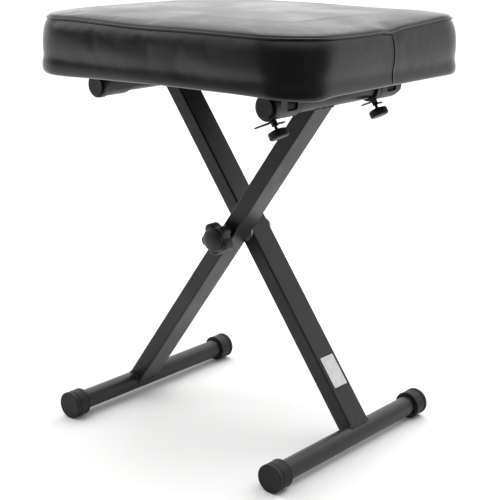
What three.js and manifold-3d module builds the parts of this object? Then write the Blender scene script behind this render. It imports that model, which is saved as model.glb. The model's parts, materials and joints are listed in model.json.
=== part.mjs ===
// Piano bench with a folding X frame: two rectangular steel legs cross on a pivot bolt, each carries a
// round foot tube and a round top tube, and a padded seat rests on the two top tubes.
// Millimetres, +Z up. X runs along the seat, Y along the tubes, the origin is on the floor under the seat.

import * as THREE from 'three';
import { mergeVertices } from 'three/addons/utils/BufferGeometryUtils.js';
import Module from 'manifold-3d';

const wasm = await Module();
wasm.setup();

// ---------- driving dimensions ----------

const gap = 0.3;                    // air left between pieces that touch

const seatLength = 457;
const seatWidth = 365;
const seatCornerRadius = 70;
const seatUnderside = 488.3;        // height of the cover's lower face
const boardThickness = 12;
const coverThickness = 1.1;
const seamHeight = 554.8;
const crownHeight = 569;
const flapWidth = 24;               // cover turned in under the board
const pipingRadius = 2.2;
const seamInset = 1.2;              // the welt's centre line, drawn in from the seat's outline

const frameCentreX = -5;            // the legs cross a little left of the seat's centre
const footHalfSpacing = 180.3;
const footTubeRadius = 13.4;
const footCapRadius = 18.6;
const footHalfLength = 165.7;
const topHalfSpacing = 142.4;
const topTubeHeight = 468.3;
const topTubeRadius = 12.9;
const topTubeHalfLength = 131.3;
const tubeWall = 1.8;

const legAcross = 22;               // leg section seen from the side of the bench
const legDeep = 39.7;               // leg section along the tubes
const legWall = 1.5;
const legCornerRadius = 2.5;
const legClearance = 3;             // space between the two legs

const boltRadius = 5;
const saddleThickness = 2.2;
const saddleLength = 44.5;
const saddleFrontY = -121.6;
const saddleRearY = 88.5;
const flangeReach = 34;             // from the tube's axis to the flange's outer edge
const collarLength = 8.7;
const collarRadius = 16.6;
const clampTilt = THREE.MathUtils.degToRad(28);
const studRadius = 2.2;

// ---------- worked out from them ----------

const footHeight = footCapRadius;
const rise = topTubeHeight - footHeight;
const run = footHalfSpacing + topHalfSpacing;
const legAngle = Math.atan2(run, rise);
const pivotHeight = footHeight + rise * footHalfSpacing / run;
const topReach = topHalfSpacing / Math.sin(legAngle);
const footReach = footHalfSpacing / Math.sin(legAngle);
const legCentreY = (legDeep + legClearance) / 2;
const legOuterY = legDeep + legClearance / 2;
const saddleInner = topTubeRadius + 0.4;
const saddleOuter = saddleInner + saddleThickness;
const dustCoverThickness = 0.8;
const dustCoverTop = seatUnderside - gap;
const saddleTop = dustCoverTop - dustCoverThickness - gap;
const saddleTopLocal = saddleTop - topTubeHeight;
const collarOffsets = { front: collarLength / 2 + 0.6, rear: collarLength / 2 + 2.9 };

// ---------- finishes ----------

const finish = (color, roughness, metalness) => {
  return new THREE.MeshStandardMaterial({ color, roughness, metalness });
};
const paintedSteel = () => finish(0x262624, 0.42, 0.55);
const blackRubber = () => finish(0x2c2f2c, 0.85, 0);
const blackPlastic = () => finish(0x1f201e, 0.5, 0);
const zincSteel = () => finish(0x8d8f90, 0.35, 1);
const blackVinyl = () => finish(0x1b1b1c, 0.35, 0);
const plywood = () => finish(0xb58a58, 0.7, 0);
const foam = () => finish(0xd9d2b8, 0.95, 0);
const blackCloth = () => finish(0x141414, 0.95, 0);
const paper = () => finish(0xe9e9e6, 0.6, 0);

// ---------- solid helpers ----------

function toSolid(geometry) {
  const bare = geometry.clone();
  bare.deleteAttribute('normal');
  bare.deleteAttribute('uv');
  const merged = mergeVertices(bare, 1e-4);
  const vertProperties = new Float32Array(merged.attributes.position.array);
  const triVerts = new Uint32Array(merged.index.array);
  return new wasm.Manifold(new wasm.Mesh({ numProp: 3, vertProperties, triVerts }));
}

function fromSolid(solid) {
  const mesh = solid.getMesh();
  const geometry = new THREE.BufferGeometry();
  geometry.setAttribute('position', new THREE.BufferAttribute(new Float32Array(mesh.vertProperties), 3));
  geometry.setIndex(new THREE.BufferAttribute(new Uint32Array(mesh.triVerts), 1));
  geometry.computeVertexNormals();
  return geometry;
}

function cut(geometry, ...tools) {
  return fromSolid(tools.reduce((solid, tool) => solid.subtract(toSolid(tool)), toSolid(geometry)));
}

function join(geometry, ...others) {
  return fromSolid(others.reduce((solid, other) => solid.add(toSolid(other)), toSolid(geometry)));
}

// a rod along Y between two heights of y
function rodY(radius, fromY, toY, sides = 20) {
  return new THREE.CylinderGeometry(radius, radius, toY - fromY, sides).translate(0, (fromY + toY) / 2, 0);
}

// a rod along Z between two heights of z
function rodZ(radius, fromZ, toZ, sides = 12) {
  return new THREE.CylinderGeometry(radius, radius, toZ - fromZ, sides).rotateX(Math.PI / 2)
    .translate(0, 0, (fromZ + toZ) / 2);
}

// a flat outline drawn in X and Z, pushed along Y
function pushY(shape, fromY, toY, curveSegments = 12) {
  const depth = toY - fromY;
  const geometry = new THREE.ExtrudeGeometry(shape, { depth, bevelEnabled: false, curveSegments });
  return geometry.rotateX(Math.PI / 2).translate(0, toY, 0);
}

// an outline turned round the Y axis, given as [radius, y] pairs
function turnY(outline, sides = 20) {
  return new THREE.LatheGeometry(outline.map(([r, y]) => new THREE.Vector2(r, y)), sides);
}

// an outline turned round the Z axis, given as [radius, z] pairs
function turnZ(outline, sides = 20) {
  return turnY(outline, sides).rotateX(Math.PI / 2);
}

function piece(name, geometry, material, x = 0, y = 0, z = 0) {
  const mesh = new THREE.Mesh(geometry, material);
  mesh.name = name;
  mesh.position.set(x, y, z);
  return mesh;
}

// ---------- steel frame ----------

function roundedRectangle(width, height, radius) {
  const shape = new THREE.Shape();
  const x = width / 2;
  const y = height / 2;
  shape.moveTo(x - radius, -y);
  shape.absarc(x - radius, -y + radius, radius, -Math.PI / 2, 0);
  shape.absarc(x - radius, y - radius, radius, 0, Math.PI / 2);
  shape.absarc(-x + radius, y - radius, radius, Math.PI / 2, Math.PI);
  shape.absarc(-x + radius, -y + radius, radius, Math.PI, Math.PI * 1.5);
  return shape;
}

// a rectangular tube along Z through the pivot, coped at both ends to the round tubes
function legGeometry() {
  const section = roundedRectangle(legAcross, legDeep, legCornerRadius);
  section.holes.push(roundedRectangle(legAcross - 2 * legWall, legDeep - 2 * legWall, legCornerRadius - 1));
  const depth = topReach + footReach - 6;
  const tube = new THREE.ExtrudeGeometry(section, { depth, bevelEnabled: false, curveSegments: 2 });
  tube.translate(0, 0, -footReach + 3);
  const topCope = rodY(topTubeRadius + gap, -legDeep, legDeep).translate(0, 0, topReach);
  const footCope = rodY(footTubeRadius + gap, -legDeep, legDeep).translate(0, 0, -footReach);
  const boltHole = rodY(boltRadius + gap, -legDeep, legDeep, 16);
  return cut(tube, topCope, footCope, boltHole);
}

function leg(name, side) {
  const mesh = piece(name, legGeometry(), paintedSteel(), 0, side * legCentreY, pivotHeight);
  mesh.rotation.y = -side * legAngle;
  return mesh;
}

// spacer inside the leg that keeps the bolt from crushing it
function legBushing(name, side) {
  const half = legDeep / 2 - legWall - gap;
  const outline = [[boltRadius + gap, -half], [7.6, -half], [7.6, half], [boltRadius + gap, half]];
  outline.push(outline[0]);
  return piece(name, turnY(outline, 16), zincSteel(), 0, side * legCentreY, pivotHeight);
}

function roundTube(name, radius, halfLength, x, z) {
  const shape = new THREE.Shape().absarc(0, 0, radius, 0, Math.PI * 2);
  shape.holes.push(new THREE.Path().absarc(0, 0, radius - tubeWall, 0, Math.PI * 2));
  return piece(name, pushY(shape, -halfLength, halfLength), paintedSteel(), x, 0, z);
}

// slip-on foot cap: thick end flange, a groove, then a skirt over the tube
function footCap(name, x, end) {
  const bore = footTubeRadius + gap;
  const r = footCapRadius;
  const outline = [
    [0, 0], [r - 1.6, 0], [r, 1.6], [r, 4], [r - 1.2, 5], [r - 1.2, 8], [r - 0.3, 9], [r - 0.3, 23.8],
    [bore, 23.8], [bore, 4.6], [0, 4.6],
  ];
  const mesh = piece(name, turnY(outline, 24), blackRubber(), x, end * footHalfLength, footHeight);
  mesh.rotation.z = end > 0 ? Math.PI : 0;
  return mesh;
}

// plug pressed into the end of a top tube
function topPlug(name, x, end) {
  const head = topTubeRadius - 0.2;
  const shank = topTubeRadius - tubeWall - gap;
  const outline = [[0, 0], [head - 1.2, 0], [head, 1.2], [head, 2.6], [shank, 2.6], [shank, 14], [0, 14]];
  const y = end * (topTubeHalfLength + 2.8);
  const mesh = piece(name, turnY(outline), blackPlastic(), x, y, topTubeHeight);
  mesh.rotation.z = end > 0 ? Math.PI : 0;
  return mesh;
}

// ring on a top tube beside its saddle; the clamped ones are drilled for the stud
function collar(name, x, y, drilled) {
  const half = collarLength / 2;
  const bore = topTubeRadius + gap;
  const outline = [
    [bore, -half], [collarRadius - 1, -half], [collarRadius, 1 - half], [collarRadius, half - 1],
    [collarRadius - 1, half], [bore, half], [bore, -half],
  ];
  const ring = turnY(outline);
  const drill = rodZ(studRadius + gap, -collarRadius - 2, 0).rotateY(-clampTilt);
  const geometry = drilled ? cut(ring, drill) : ring;
  return piece(name, geometry, blackPlastic(), x, y, topTubeHeight);
}

// ---------- pivot ----------

function lockDisc(name, side) {
  const radius = 15;
  const teeth = 18;
  const shape = new THREE.Shape();
  for (let i = 0; i < 2 * teeth; i++) {
    const angle = i * Math.PI / teeth;
    const r = i % 2 ? radius - 1 : radius;
    shape[i ? 'lineTo' : 'moveTo'](r * Math.cos(angle), r * Math.sin(angle));
  }
  shape.holes.push(new THREE.Path().absarc(0, 0, boltRadius + gap, 0, Math.PI * 2));
  const disc = pushY(shape, -0.5, 0.5, 8);
  return piece(name, disc, zincSteel(), 0, side * 0.75, pivotHeight);
}

function washer(name, y, radius) {
  const bore = boltRadius + gap;
  const outline = [[bore, -0.8], [radius, -0.8], [radius, 0.8], [bore, 0.8], [bore, -0.8]];
  return piece(name, turnY(outline), zincSteel(), 0, y, pivotHeight);
}

const washerY = legOuterY + 1.1;
const knobBackY = -(washerY + 1.1);
const boltTipY = knobBackY - 15;

function pivotBolt() {
  const headY = washerY + 1.1;
  const headRadius = 9;
  const outline = [
    [0, boltTipY], [boltRadius, boltTipY], [boltRadius, headY], [headRadius, headY], [headRadius, headY + 4],
    [headRadius - 2, headY + 6], [0, headY + 6.6],
  ];
  return piece('pivot_bolt', turnY(outline, 16), zincSteel(), 0, 0, pivotHeight);
}

// moulded knob: five lobes behind a shallow dome, with a blind pocket for the insert
function starKnob() {
  const lobes = 5;
  const points = 40;
  const shape = new THREE.Shape();
  for (let i = 0; i < points; i++) {
    const angle = i * 2 * Math.PI / points;
    const wave = Math.cos(lobes * (angle - THREE.MathUtils.degToRad(50)));
    const r = 19.4 + 3.1 * wave + 0.7 * (1 - wave * wave);
    shape[i ? 'lineTo' : 'moveTo'](r * Math.cos(angle), r * Math.sin(angle));
  }
  const grip = pushY(shape, knobBackY - 20, knobBackY - 3);
  const core = turnY([
    [0, -27.5], [7, -27], [12.5, -24.8], [16.2, -21.5], [17.2, -19], [17.2, -4], [11, -3], [11, 0], [0, 0],
  ]);
  const pocket = rodY(7.3, knobBackY - 17, knobBackY + 1, 16);
  const knob = cut(join(grip, core.translate(0, knobBackY, 0)), pocket);
  return piece('star_knob', knob, blackPlastic(), 0, 0, pivotHeight);
}

function starKnobInsert() {
  const bore = boltRadius + gap;
  const outline = [[bore, -16.5], [7, -16.5], [7, 0], [bore, 0], [bore, -16.5]];
  return piece('star_knob_insert', turnY(outline, 16), zincSteel(), 0, knobBackY, pivotHeight);
}

// ---------- clamp screws: local -Z points out of the collar ----------

const knobStart = -27.4;
const knobRadius = 12.2;
const knobEnd = -38.6;
const nutRadius = 4.1;
const nutTop = -17;
const nutBottom = -23.6;

function clampStud(name) {
  return piece(name, rodZ(studRadius, -35.5, -(topTubeRadius + 0.4)), zincSteel());
}

function clampKnob(name) {
  const outline = [
    [0, knobEnd], [knobRadius - 1.5, knobEnd], [knobRadius, knobEnd + 1.3], [knobRadius, knobStart - 2.6],
    [knobRadius - 1.4, knobStart - 1.5], [studRadius + 2, knobStart], [0, knobStart],
  ];
  const pocket = rodZ(studRadius + gap, -36, knobStart + 1);
  return piece(name, cut(turnZ(outline), pocket), blackPlastic());
}

// one arm of the lock lever: a flat strip from the nut along X, rounded at its tip
function leverArm(reach, hubHalf, tipHalf, thickness) {
  const strip = new THREE.Shape();
  strip.moveTo(0, -hubHalf);
  strip.lineTo(reach, -tipHalf);
  strip.absarc(reach, 0, tipHalf, -Math.PI / 2, Math.PI / 2);
  strip.lineTo(0, hubHalf);
  return new THREE.ExtrudeGeometry(strip, { depth: thickness, bevelEnabled: false, curveSegments: 4 });
}

// lock lever: a nut with a long drooping arm and a short level one, jams the stud against the collar
function lockLever(name, turn) {
  const droop = THREE.MathUtils.degToRad(4.5);
  const longArm = leverArm(29.5, 6, 2.8, 1.9).translate(0, 0, -1.9).rotateY(droop).rotateZ(Math.PI);
  const shortArm = leverArm(14.5, 2.9, 2.5, 1.8).translate(0, 0, -22.2);
  const nut = join(join(longArm.translate(0, 0, nutTop), rodZ(nutRadius, nutBottom, nutTop)), shortArm);
  const mesh = piece(name, cut(nut, rodZ(studRadius + gap, nutBottom - 1, nutTop + 1)), paintedSteel());
  mesh.rotation.z = turn;
  return mesh;
}

function clampScrew(end, y, turn) {
  const group = new THREE.Group();
  group.position.set(topHalfSpacing, y, topTubeHeight);
  group.rotation.y = -clampTilt;
  group.add(clampStud(`${end}_clamp_stud`), clampKnob(`${end}_clamp_knob`));
  group.add(lockLever(`${end}_lock_lever`, turn));
  return group;
}

// ---------- saddles under the seat ----------

// closed strap: goes right round the tube and has a flange on each side
function closedSaddleShape() {
  const t = saddleTopLocal;
  const shape = new THREE.Shape();
  shape.moveTo(-flangeReach, t);
  shape.lineTo(-flangeReach, t - saddleThickness);
  shape.lineTo(-saddleOuter, t - saddleThickness);
  shape.lineTo(-saddleOuter, 0);
  shape.absarc(0, 0, saddleOuter, Math.PI, Math.PI * 2);
  shape.lineTo(saddleOuter, t - saddleThickness);
  shape.lineTo(flangeReach, t - saddleThickness);
  shape.lineTo(flangeReach, t);
  shape.lineTo(saddleInner, t);
  shape.lineTo(saddleInner, 0);
  shape.absarc(0, 0, saddleInner, 0, Math.PI, true);
  shape.lineTo(-saddleInner, t);
  return shape;
}

// open hook: the tube can leave it towards the middle of the bench
function openSaddleShape() {
  const t = saddleTopLocal;
  const innerEdge = -27;
  const lip = -10;
  const shape = new THREE.Shape();
  shape.moveTo(innerEdge, t);
  shape.lineTo(innerEdge, t - saddleThickness);
  shape.lineTo(saddleInner, t - saddleThickness);
  shape.lineTo(saddleInner, 0);
  shape.absarc(0, 0, saddleInner, 0, -Math.PI / 2, true);
  shape.lineTo(lip, -saddleInner);
  shape.lineTo(lip, -saddleOuter);
  shape.lineTo(0, -saddleOuter);
  shape.absarc(0, 0, saddleOuter, -Math.PI / 2, 0);
  shape.lineTo(saddleOuter, t - saddleThickness);
  shape.lineTo(flangeReach, t - saddleThickness);
  shape.lineTo(flangeReach, t);
  return shape;
}

// wedge taken off the lower far corner of a saddle
function cornerWedge(endY) {
  const shape = new THREE.Shape();
  const low = -saddleOuter;
  shape.moveTo(endY - 9, low - 1);
  shape.lineTo(endY + 1, low - 1);
  shape.lineTo(endY + 1, low + 9);
  const wedge = new THREE.ExtrudeGeometry(shape, { depth: 60, bevelEnabled: false });
  return wedge.rotateX(Math.PI / 2).rotateZ(Math.PI / 2).translate(30, 0, 0);
}

const screwOffsets = { closed: [-25, 25], open: [-20, 25] };
const screwRadius = 1.9;

function screwHole(x, y, fromZ, toZ) {
  return rodZ(screwRadius + gap + 0.1, fromZ, toZ, 8).translate(x, y, 0);
}

function saddleGeometry(shape, offsets, startY, outward) {
  const endY = startY + saddleLength;
  const middleY = startY + saddleLength / 2;
  const strap = pushY(shape, startY, endY, 8);
  const window = new THREE.BoxGeometry(10, 20, 11.5).translate(outward * saddleOuter, middleY, 0.5);
  const holes = offsets.map((x) => screwHole(x, middleY, saddleTopLocal - 6, saddleTopLocal + 2));
  return cut(strap, cornerWedge(endY), window, ...holes);
}

function saddleScrew(name, x, y) {
  const head = saddleTopLocal - saddleThickness - 0.2;
  const outline = [
    [0, head - 2], [2.6, head - 1.9], [4, head - 0.8], [4, head], [screwRadius, head],
    [screwRadius, head + 12], [0, head + 12.8],
  ];
  return piece(name, turnZ(outline, 8), zincSteel(), x, y, topTubeHeight);
}

// block between the tube and the seat
function packer(name, x, y, thickness) {
  const width = 2 * saddleInner - 2 * gap;
  const top = topTubeRadius + gap + thickness;
  const block = new THREE.BoxGeometry(width, saddleLength - 4, thickness);
  return piece(name, block, blackPlastic(), x, y, topTubeHeight + top - thickness / 2);
}

function saddleSet(label, end, x, startY, open) {
  const middleY = startY + saddleLength / 2;
  const offsets = open ? screwOffsets.open : screwOffsets.closed;
  const shape = open ? openSaddleShape() : closedSaddleShape();
  const strap = saddleGeometry(shape, offsets, startY, open ? 1 : -1);
  const ceiling = open ? saddleTopLocal - saddleThickness : saddleTopLocal;
  const sides = open ? ['inner', 'outer'] : ['outer', 'inner'];
  const group = new THREE.Group();
  group.add(piece(`${label}_${end}_saddle`, strap, paintedSteel(), x, 0, topTubeHeight));
  group.add(packer(`${label}_${end}_packer`, x, middleY, ceiling - topTubeRadius - 2 * gap));
  offsets.forEach((offset, i) => {
    group.add(saddleScrew(`${label}_${end}_screw_${sides[i]}`, x + offset, middleY));
  });
  return group;
}

// ---------- seat ----------

// points round the seat's plan, drawn in by an inset
function planOutline(inset, height) {
  const halfX = seatLength / 2 - inset;
  const halfY = seatWidth / 2 - inset;
  const radius = Math.max(seatCornerRadius - inset, 12);
  const cornerSteps = 6;
  const points = [];
  for (let corner = 0; corner < 4; corner++) {
    const signX = corner === 0 || corner === 3 ? 1 : -1;
    const signY = corner < 2 ? 1 : -1;
    for (let i = 0; i <= cornerSteps; i++) {
      const angle = (corner + i / cornerSteps) * Math.PI / 2;
      const x = signX * (halfX - radius) + radius * Math.cos(angle);
      const y = signY * (halfY - radius) + radius * Math.sin(angle);
      points.push(new THREE.Vector3(x, y, height));
    }
  }
  return points;
}

// a body through rings with the same number of points, closed by a fan at each end; without end heights the
// last ring is the first one again
function loft(rings, startHeight, endHeight) {
  const count = rings[0].length;
  const position = [];
  rings.forEach((ring) => ring.forEach((point) => position.push(point.x, point.y, point.z)));
  const index = [];
  for (let r = 0; r < rings.length - 1; r++) {
    for (let i = 0; i < count; i++) {
      const a = r * count + i;
      const b = r * count + (i + 1) % count;
      index.push(a, b, b + count, a, b + count, a + count);
    }
  }
  if (startHeight !== undefined) {
    const start = rings.length * count;
    const last = start - count;
    position.push(0, 0, startHeight, 0, 0, endHeight);
    for (let i = 0; i < count; i++) {
      const next = (i + 1) % count;
      index.push(start, next, i, last + i, last + next, start + 1);
    }
  }
  const geometry = new THREE.BufferGeometry();
  geometry.setAttribute('position', new THREE.Float32BufferAttribute(position, 3));
  geometry.setIndex(index);
  geometry.computeVertexNormals();
  return geometry;
}

const boardBottom = seatUnderside + coverThickness + gap;
const boardTop = boardBottom + boardThickness;

// heights and insets of the cover's outer face, from under the board to the crown
const coverProfile = [
  [seatUnderside, flapWidth], [seatUnderside, 1.2], [seatUnderside + 1.2, 0], [boardTop, 0],
  [boardTop + 4, 1], [522, -1], [541, -0.6], [551, 2], [seamHeight, 4], [558, 4.6],
  [560, 9], [561, 19], [563.2, 45], [565.4, 64],
];

const crownStart = 10;              // first row of the profile that belongs to the crown

function seatCover() {
  const t = coverThickness;
  const outer = coverProfile.map(([height, inset]) => planOutline(inset, height));
  const inner = coverProfile.map(([height, inset], i) => {
    if (i === 0) return planOutline(inset, height + t);
    if (i === 1) return planOutline(t, height + t);
    return planOutline(inset + t, i < crownStart ? height : height - t);
  });
  const shell = loft([...inner.reverse(), ...outer], crownHeight - t, crownHeight);
  return piece('seat_cover', shell, blackVinyl());
}

// welt that follows the seam round the seat
function seatPiping() {
  const sides = 8;
  const rings = [];
  for (let i = 0; i <= sides; i++) {
    const angle = i * 2 * Math.PI / sides;
    const inset = seamInset - pipingRadius * Math.cos(angle);
    rings.push(planOutline(inset, seamHeight + pipingRadius * Math.sin(angle)));
  }
  return piece('seat_piping', loft(rings), blackVinyl());
}

function seatBoard(screws) {
  const inset = coverThickness + gap;
  const edges = [planOutline(inset, boardBottom), planOutline(inset, boardTop)];
  const board = loft(edges, boardBottom, boardTop);
  const holes = screws.map(([x, y]) => screwHole(x, y, boardBottom - 2, boardBottom + 10));
  return piece('seat_board', cut(board, ...holes), plywood());
}

// foam block: follows the inside of the cover above the board
function foamPad() {
  const inside = coverThickness + 0.5;
  const bottom = boardTop + gap;
  const firstRow = 4;
  const rings = coverProfile.slice(firstRow).map(([height, inset], i) => {
    return planOutline(inset + inside, i + firstRow < crownStart ? height : height - inside);
  });
  rings.unshift(planOutline(inside + 0.2, bottom));
  return piece('foam_pad', loft(rings, bottom, crownHeight - inside), foam());
}

function dustCover(screws) {
  const bottom = dustCoverTop - dustCoverThickness;
  const sheet = loft([planOutline(12, bottom), planOutline(12, dustCoverTop)], bottom, dustCoverTop);
  const holes = screws.map(([x, y]) => screwHole(x, y, bottom - 2, dustCoverTop + 2));
  return piece('dust_cover', cut(sheet, ...holes), blackCloth());
}

// blank label on the outer face of the far leg
function blankLabel() {
  const label = piece('blank_label', new THREE.BoxGeometry(0.3, 27, 44), paper());
  label.position.set(legAcross / 2 + 0.15 + gap, 0, -222.9);
  const group = new THREE.Group();
  group.position.set(0, legCentreY, pivotHeight);
  group.rotation.y = -legAngle;
  group.add(label);
  return group;
}

// ---------- assembly ----------

const bench = new THREE.Group();
const frame = new THREE.Group();
frame.position.x = frameCentreX;
bench.add(frame);

const ends = { front: -1, rear: 1 };
const saddleStarts = { front: saddleFrontY, rear: saddleRearY };
const sides = { left: -1, right: 1 };

frame.add(leg('near_leg', -1), leg('far_leg', 1), blankLabel());
frame.add(legBushing('near_leg_bushing', -1), legBushing('far_leg_bushing', 1));
frame.add(lockDisc('near_lock_disc', -1), lockDisc('far_lock_disc', 1));
frame.add(washer('knob_washer', -washerY, 12), washer('bolt_washer', washerY, 11));
frame.add(pivotBolt(), starKnob(), starKnobInsert());

for (const [side, sign] of Object.entries(sides)) {
  const footX = sign * footHalfSpacing;
  const topX = sign * topHalfSpacing;
  frame.add(roundTube(`${side}_foot_tube`, footTubeRadius, footHalfLength - 4.9, footX, footHeight));
  frame.add(roundTube(`${side}_top_tube`, topTubeRadius, topTubeHalfLength, topX, topTubeHeight));
  for (const [end, way] of Object.entries(ends)) {
    frame.add(footCap(`${side}_${end}_foot_cap`, footX, way));
    frame.add(topPlug(`${side}_${end}_top_plug`, topX, way));
    frame.add(collar(`${side}_${end}_collar`, topX, saddleStarts[end] - collarOffsets[end], sign > 0));
    frame.add(saddleSet(side, end, topX, saddleStarts[end], sign > 0));
  }
}

frame.add(clampScrew('front', saddleFrontY - collarOffsets.front, THREE.MathUtils.degToRad(84)));
frame.add(clampScrew('rear', saddleRearY - collarOffsets.rear, THREE.MathUtils.degToRad(95)));

const screwPlaces = Object.values(sides).flatMap((sign) => {
  const offsets = sign > 0 ? screwOffsets.open : screwOffsets.closed;
  return Object.values(saddleStarts).flatMap((startY) => offsets.map((offset) => {
    return [frameCentreX + sign * topHalfSpacing + offset, startY + saddleLength / 2];
  }));
});

bench.add(seatBoard(screwPlaces), foamPad(), seatCover(), seatPiping(), dustCover(screwPlaces));

export default bench;
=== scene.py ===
import json
import math

import bmesh
import bpy
from mathutils import Matrix, Vector, noise

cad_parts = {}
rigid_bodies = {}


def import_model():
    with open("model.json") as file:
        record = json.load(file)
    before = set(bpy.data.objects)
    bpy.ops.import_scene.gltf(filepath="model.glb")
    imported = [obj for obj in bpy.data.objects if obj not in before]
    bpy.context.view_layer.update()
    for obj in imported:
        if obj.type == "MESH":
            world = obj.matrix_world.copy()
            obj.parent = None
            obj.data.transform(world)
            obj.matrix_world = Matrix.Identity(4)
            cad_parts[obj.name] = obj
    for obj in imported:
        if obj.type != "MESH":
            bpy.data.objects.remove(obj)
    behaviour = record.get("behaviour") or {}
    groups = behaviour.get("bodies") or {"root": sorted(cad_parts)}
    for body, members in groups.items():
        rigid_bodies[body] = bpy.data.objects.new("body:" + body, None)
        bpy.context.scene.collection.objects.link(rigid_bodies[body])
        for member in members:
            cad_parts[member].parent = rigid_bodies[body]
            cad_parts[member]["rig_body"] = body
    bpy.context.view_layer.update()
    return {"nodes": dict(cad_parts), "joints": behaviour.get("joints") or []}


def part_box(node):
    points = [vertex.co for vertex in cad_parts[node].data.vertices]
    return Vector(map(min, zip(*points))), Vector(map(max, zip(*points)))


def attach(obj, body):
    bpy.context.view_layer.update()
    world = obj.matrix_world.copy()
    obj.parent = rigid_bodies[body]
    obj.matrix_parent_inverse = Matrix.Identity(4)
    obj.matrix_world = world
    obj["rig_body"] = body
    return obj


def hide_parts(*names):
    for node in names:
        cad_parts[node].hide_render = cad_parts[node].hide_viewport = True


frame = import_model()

# Folding X-frame piano bench: a padded vinyl seat on a black steel frame. Metres, +Z up.
mm = 0.001
nodes = frame["nodes"]
joints = {joint["name"]: joint for joint in frame["joints"]}
ends = ("front", "rear")
sides = ("left", "right")
nearBody = "near_leg_frame"
farBody = "far_leg_frame"
seatBody = "seat"


# ---- measuring the frame ----

def middle(node):
    low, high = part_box(node)
    return (low + high) / 2


def extent(node):
    low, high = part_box(node)
    return high - low


# ---- mesh tools ----

def softOutline(points, steps=4, closed=False):
    # a point may carry a third number, the size of its rounding
    line = []
    count = len(points)
    for i, point in enumerate(points):
        corner = Vector(point[:2])
        inside = closed or 0 < i < count - 1
        if len(point) == 2 or not inside:
            line.append(corner)
            continue
        before = Vector(points[i - 1][:2]) - corner
        after = Vector(points[(i + 1) % count][:2]) - corner
        reach = min(point[2], 0.48 * before.length, 0.48 * after.length)
        start = corner + before.normalized() * reach
        end = corner + after.normalized() * reach
        for k in range(steps + 1):
            f = k / steps
            line.append(start.lerp(corner, f).lerp(corner.lerp(end, f), f))
    return line


def arcLine(centre, radius, fromAngle, toAngle, steps):
    angles = [math.radians(fromAngle + (toAngle - fromAngle) * i / steps) for i in range(steps + 1)]
    return [(centre[0] + radius * math.cos(a), centre[1] + radius * math.sin(a)) for a in angles]


def smoothLine(points, step):
    # a soft curve through the points, cut into even steps
    dense = []
    for i in range(len(points) - 1):
        p0 = Vector(points[max(i - 1, 0)])
        p1 = Vector(points[i])
        p2 = Vector(points[i + 1])
        p3 = Vector(points[min(i + 2, len(points) - 1)])
        for k in range(12):
            t = k / 12
            dense.append(0.5 * (2 * p1 + (p2 - p0) * t + (2 * p0 - 5 * p1 + 4 * p2 - p3) * t ** 2
                                + (3 * p1 - p0 - 3 * p2 + p3) * t ** 3))
    dense.append(Vector(points[-1]))
    return evenSteps(dense, step)


def evenSteps(line, step):
    lengths = [0.0]
    for a, b in zip(line, line[1:]):
        lengths.append(lengths[-1] + (b - a).length)
    count = max(2, round(lengths[-1] / step))
    even = []
    at = 0
    for i in range(count + 1):
        target = lengths[-1] * i / count
        while at < len(line) - 2 and lengths[at + 1] < target:
            at += 1
        share = (target - lengths[at]) / max(lengths[at + 1] - lengths[at], 1e-12)
        even.append(line[at].lerp(line[at + 1], min(share, 1.0)))
    return even


def standing(origin, axis, side=(0, 1, 0)):
    # local Z along axis, local Y as near to side as it can be
    z = Vector(axis).normalized()
    x = Vector(side).cross(z).normalized()
    y = z.cross(x)
    turn = Matrix((x, y, z)).transposed().to_4x4()
    return Matrix.Translation(Vector(origin)) @ turn


def joinRings(bm, first, second):
    if len(first) == 1 and len(second) == 1:
        return
    count = max(len(first), len(second))
    for i in range(count):
        j = (i + 1) % count
        if len(first) == 1:
            bm.faces.new((first[0], second[i], second[j]))
        elif len(second) == 1:
            bm.faces.new((first[i], first[j], second[0]))
        else:
            bm.faces.new((first[i], first[j], second[j], second[i]))


def turnInto(bm, outline, place, sideCount=64, shape=None, closed=False):
    # outline of (radius, height) pairs turned round local Z; shape may vary the radius with the angle
    rings = []
    for radius, height in outline:
        if radius < 1e-7:
            rings.append([bm.verts.new(place @ Vector((0, 0, height)))])
            continue
        ring = []
        for i in range(sideCount):
            angle = 2 * math.pi * i / sideCount
            r = shape(radius, height, angle) if shape else radius
            ring.append(bm.verts.new(place @ Vector((r * math.cos(angle), r * math.sin(angle), height))))
        rings.append(ring)
    for first, second in zip(rings, rings[1:]):
        joinRings(bm, first, second)
    if closed:
        joinRings(bm, rings[-1], rings[0])
    return rings


def pushInto(bm, outline, place, low, high, edge=0.0):
    # a closed outline pushed along local Z, with a small rounded edge at both faces
    steps = [(low, edge), (low + 0.3 * edge, 0.3 * edge), (low + edge, 0.0)]
    levels = steps + [(low + high - z, inset) for z, inset in reversed(steps)] if edge else [(low, 0), (high, 0)]
    middlePoint = sum((Vector(p) for p in outline), Vector((0, 0))) / len(outline)
    rings = []
    for height, inset in levels:
        ring = []
        for point in outline:
            away = Vector(point) - middlePoint
            drawn = middlePoint + away * (1 - inset / max(away.length, 1e-6))
            ring.append(bm.verts.new(place @ Vector((drawn.x, drawn.y, height))))
        rings.append(ring)
    for first, second in zip(rings, rings[1:]):
        joinRings(bm, first, second)
    bm.faces.new(list(reversed(rings[0])))
    bm.faces.new(rings[-1])


def newPiece(name, bm, sharpAngle=38, weighted=True):
    bmesh.ops.recalc_face_normals(bm, faces=bm.faces)
    mesh = bpy.data.meshes.new(name)
    bm.to_mesh(mesh)
    bm.free()
    mesh.shade_smooth()
    mesh.set_sharp_from_angle(angle=math.radians(sharpAngle))
    piece = bpy.data.objects.new(name, mesh)
    bpy.context.scene.collection.objects.link(piece)
    if weighted:
        piece.modifiers.new("evenShading", "WEIGHTED_NORMAL").keep_sharp = True
    return piece


def fit(piece, body, slotName, *replaced):
    piece.data.materials.clear()
    piece.data.materials.append(finishes[slotName])
    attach(piece, body)
    if replaced:
        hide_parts(*replaced)
    return piece


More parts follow.
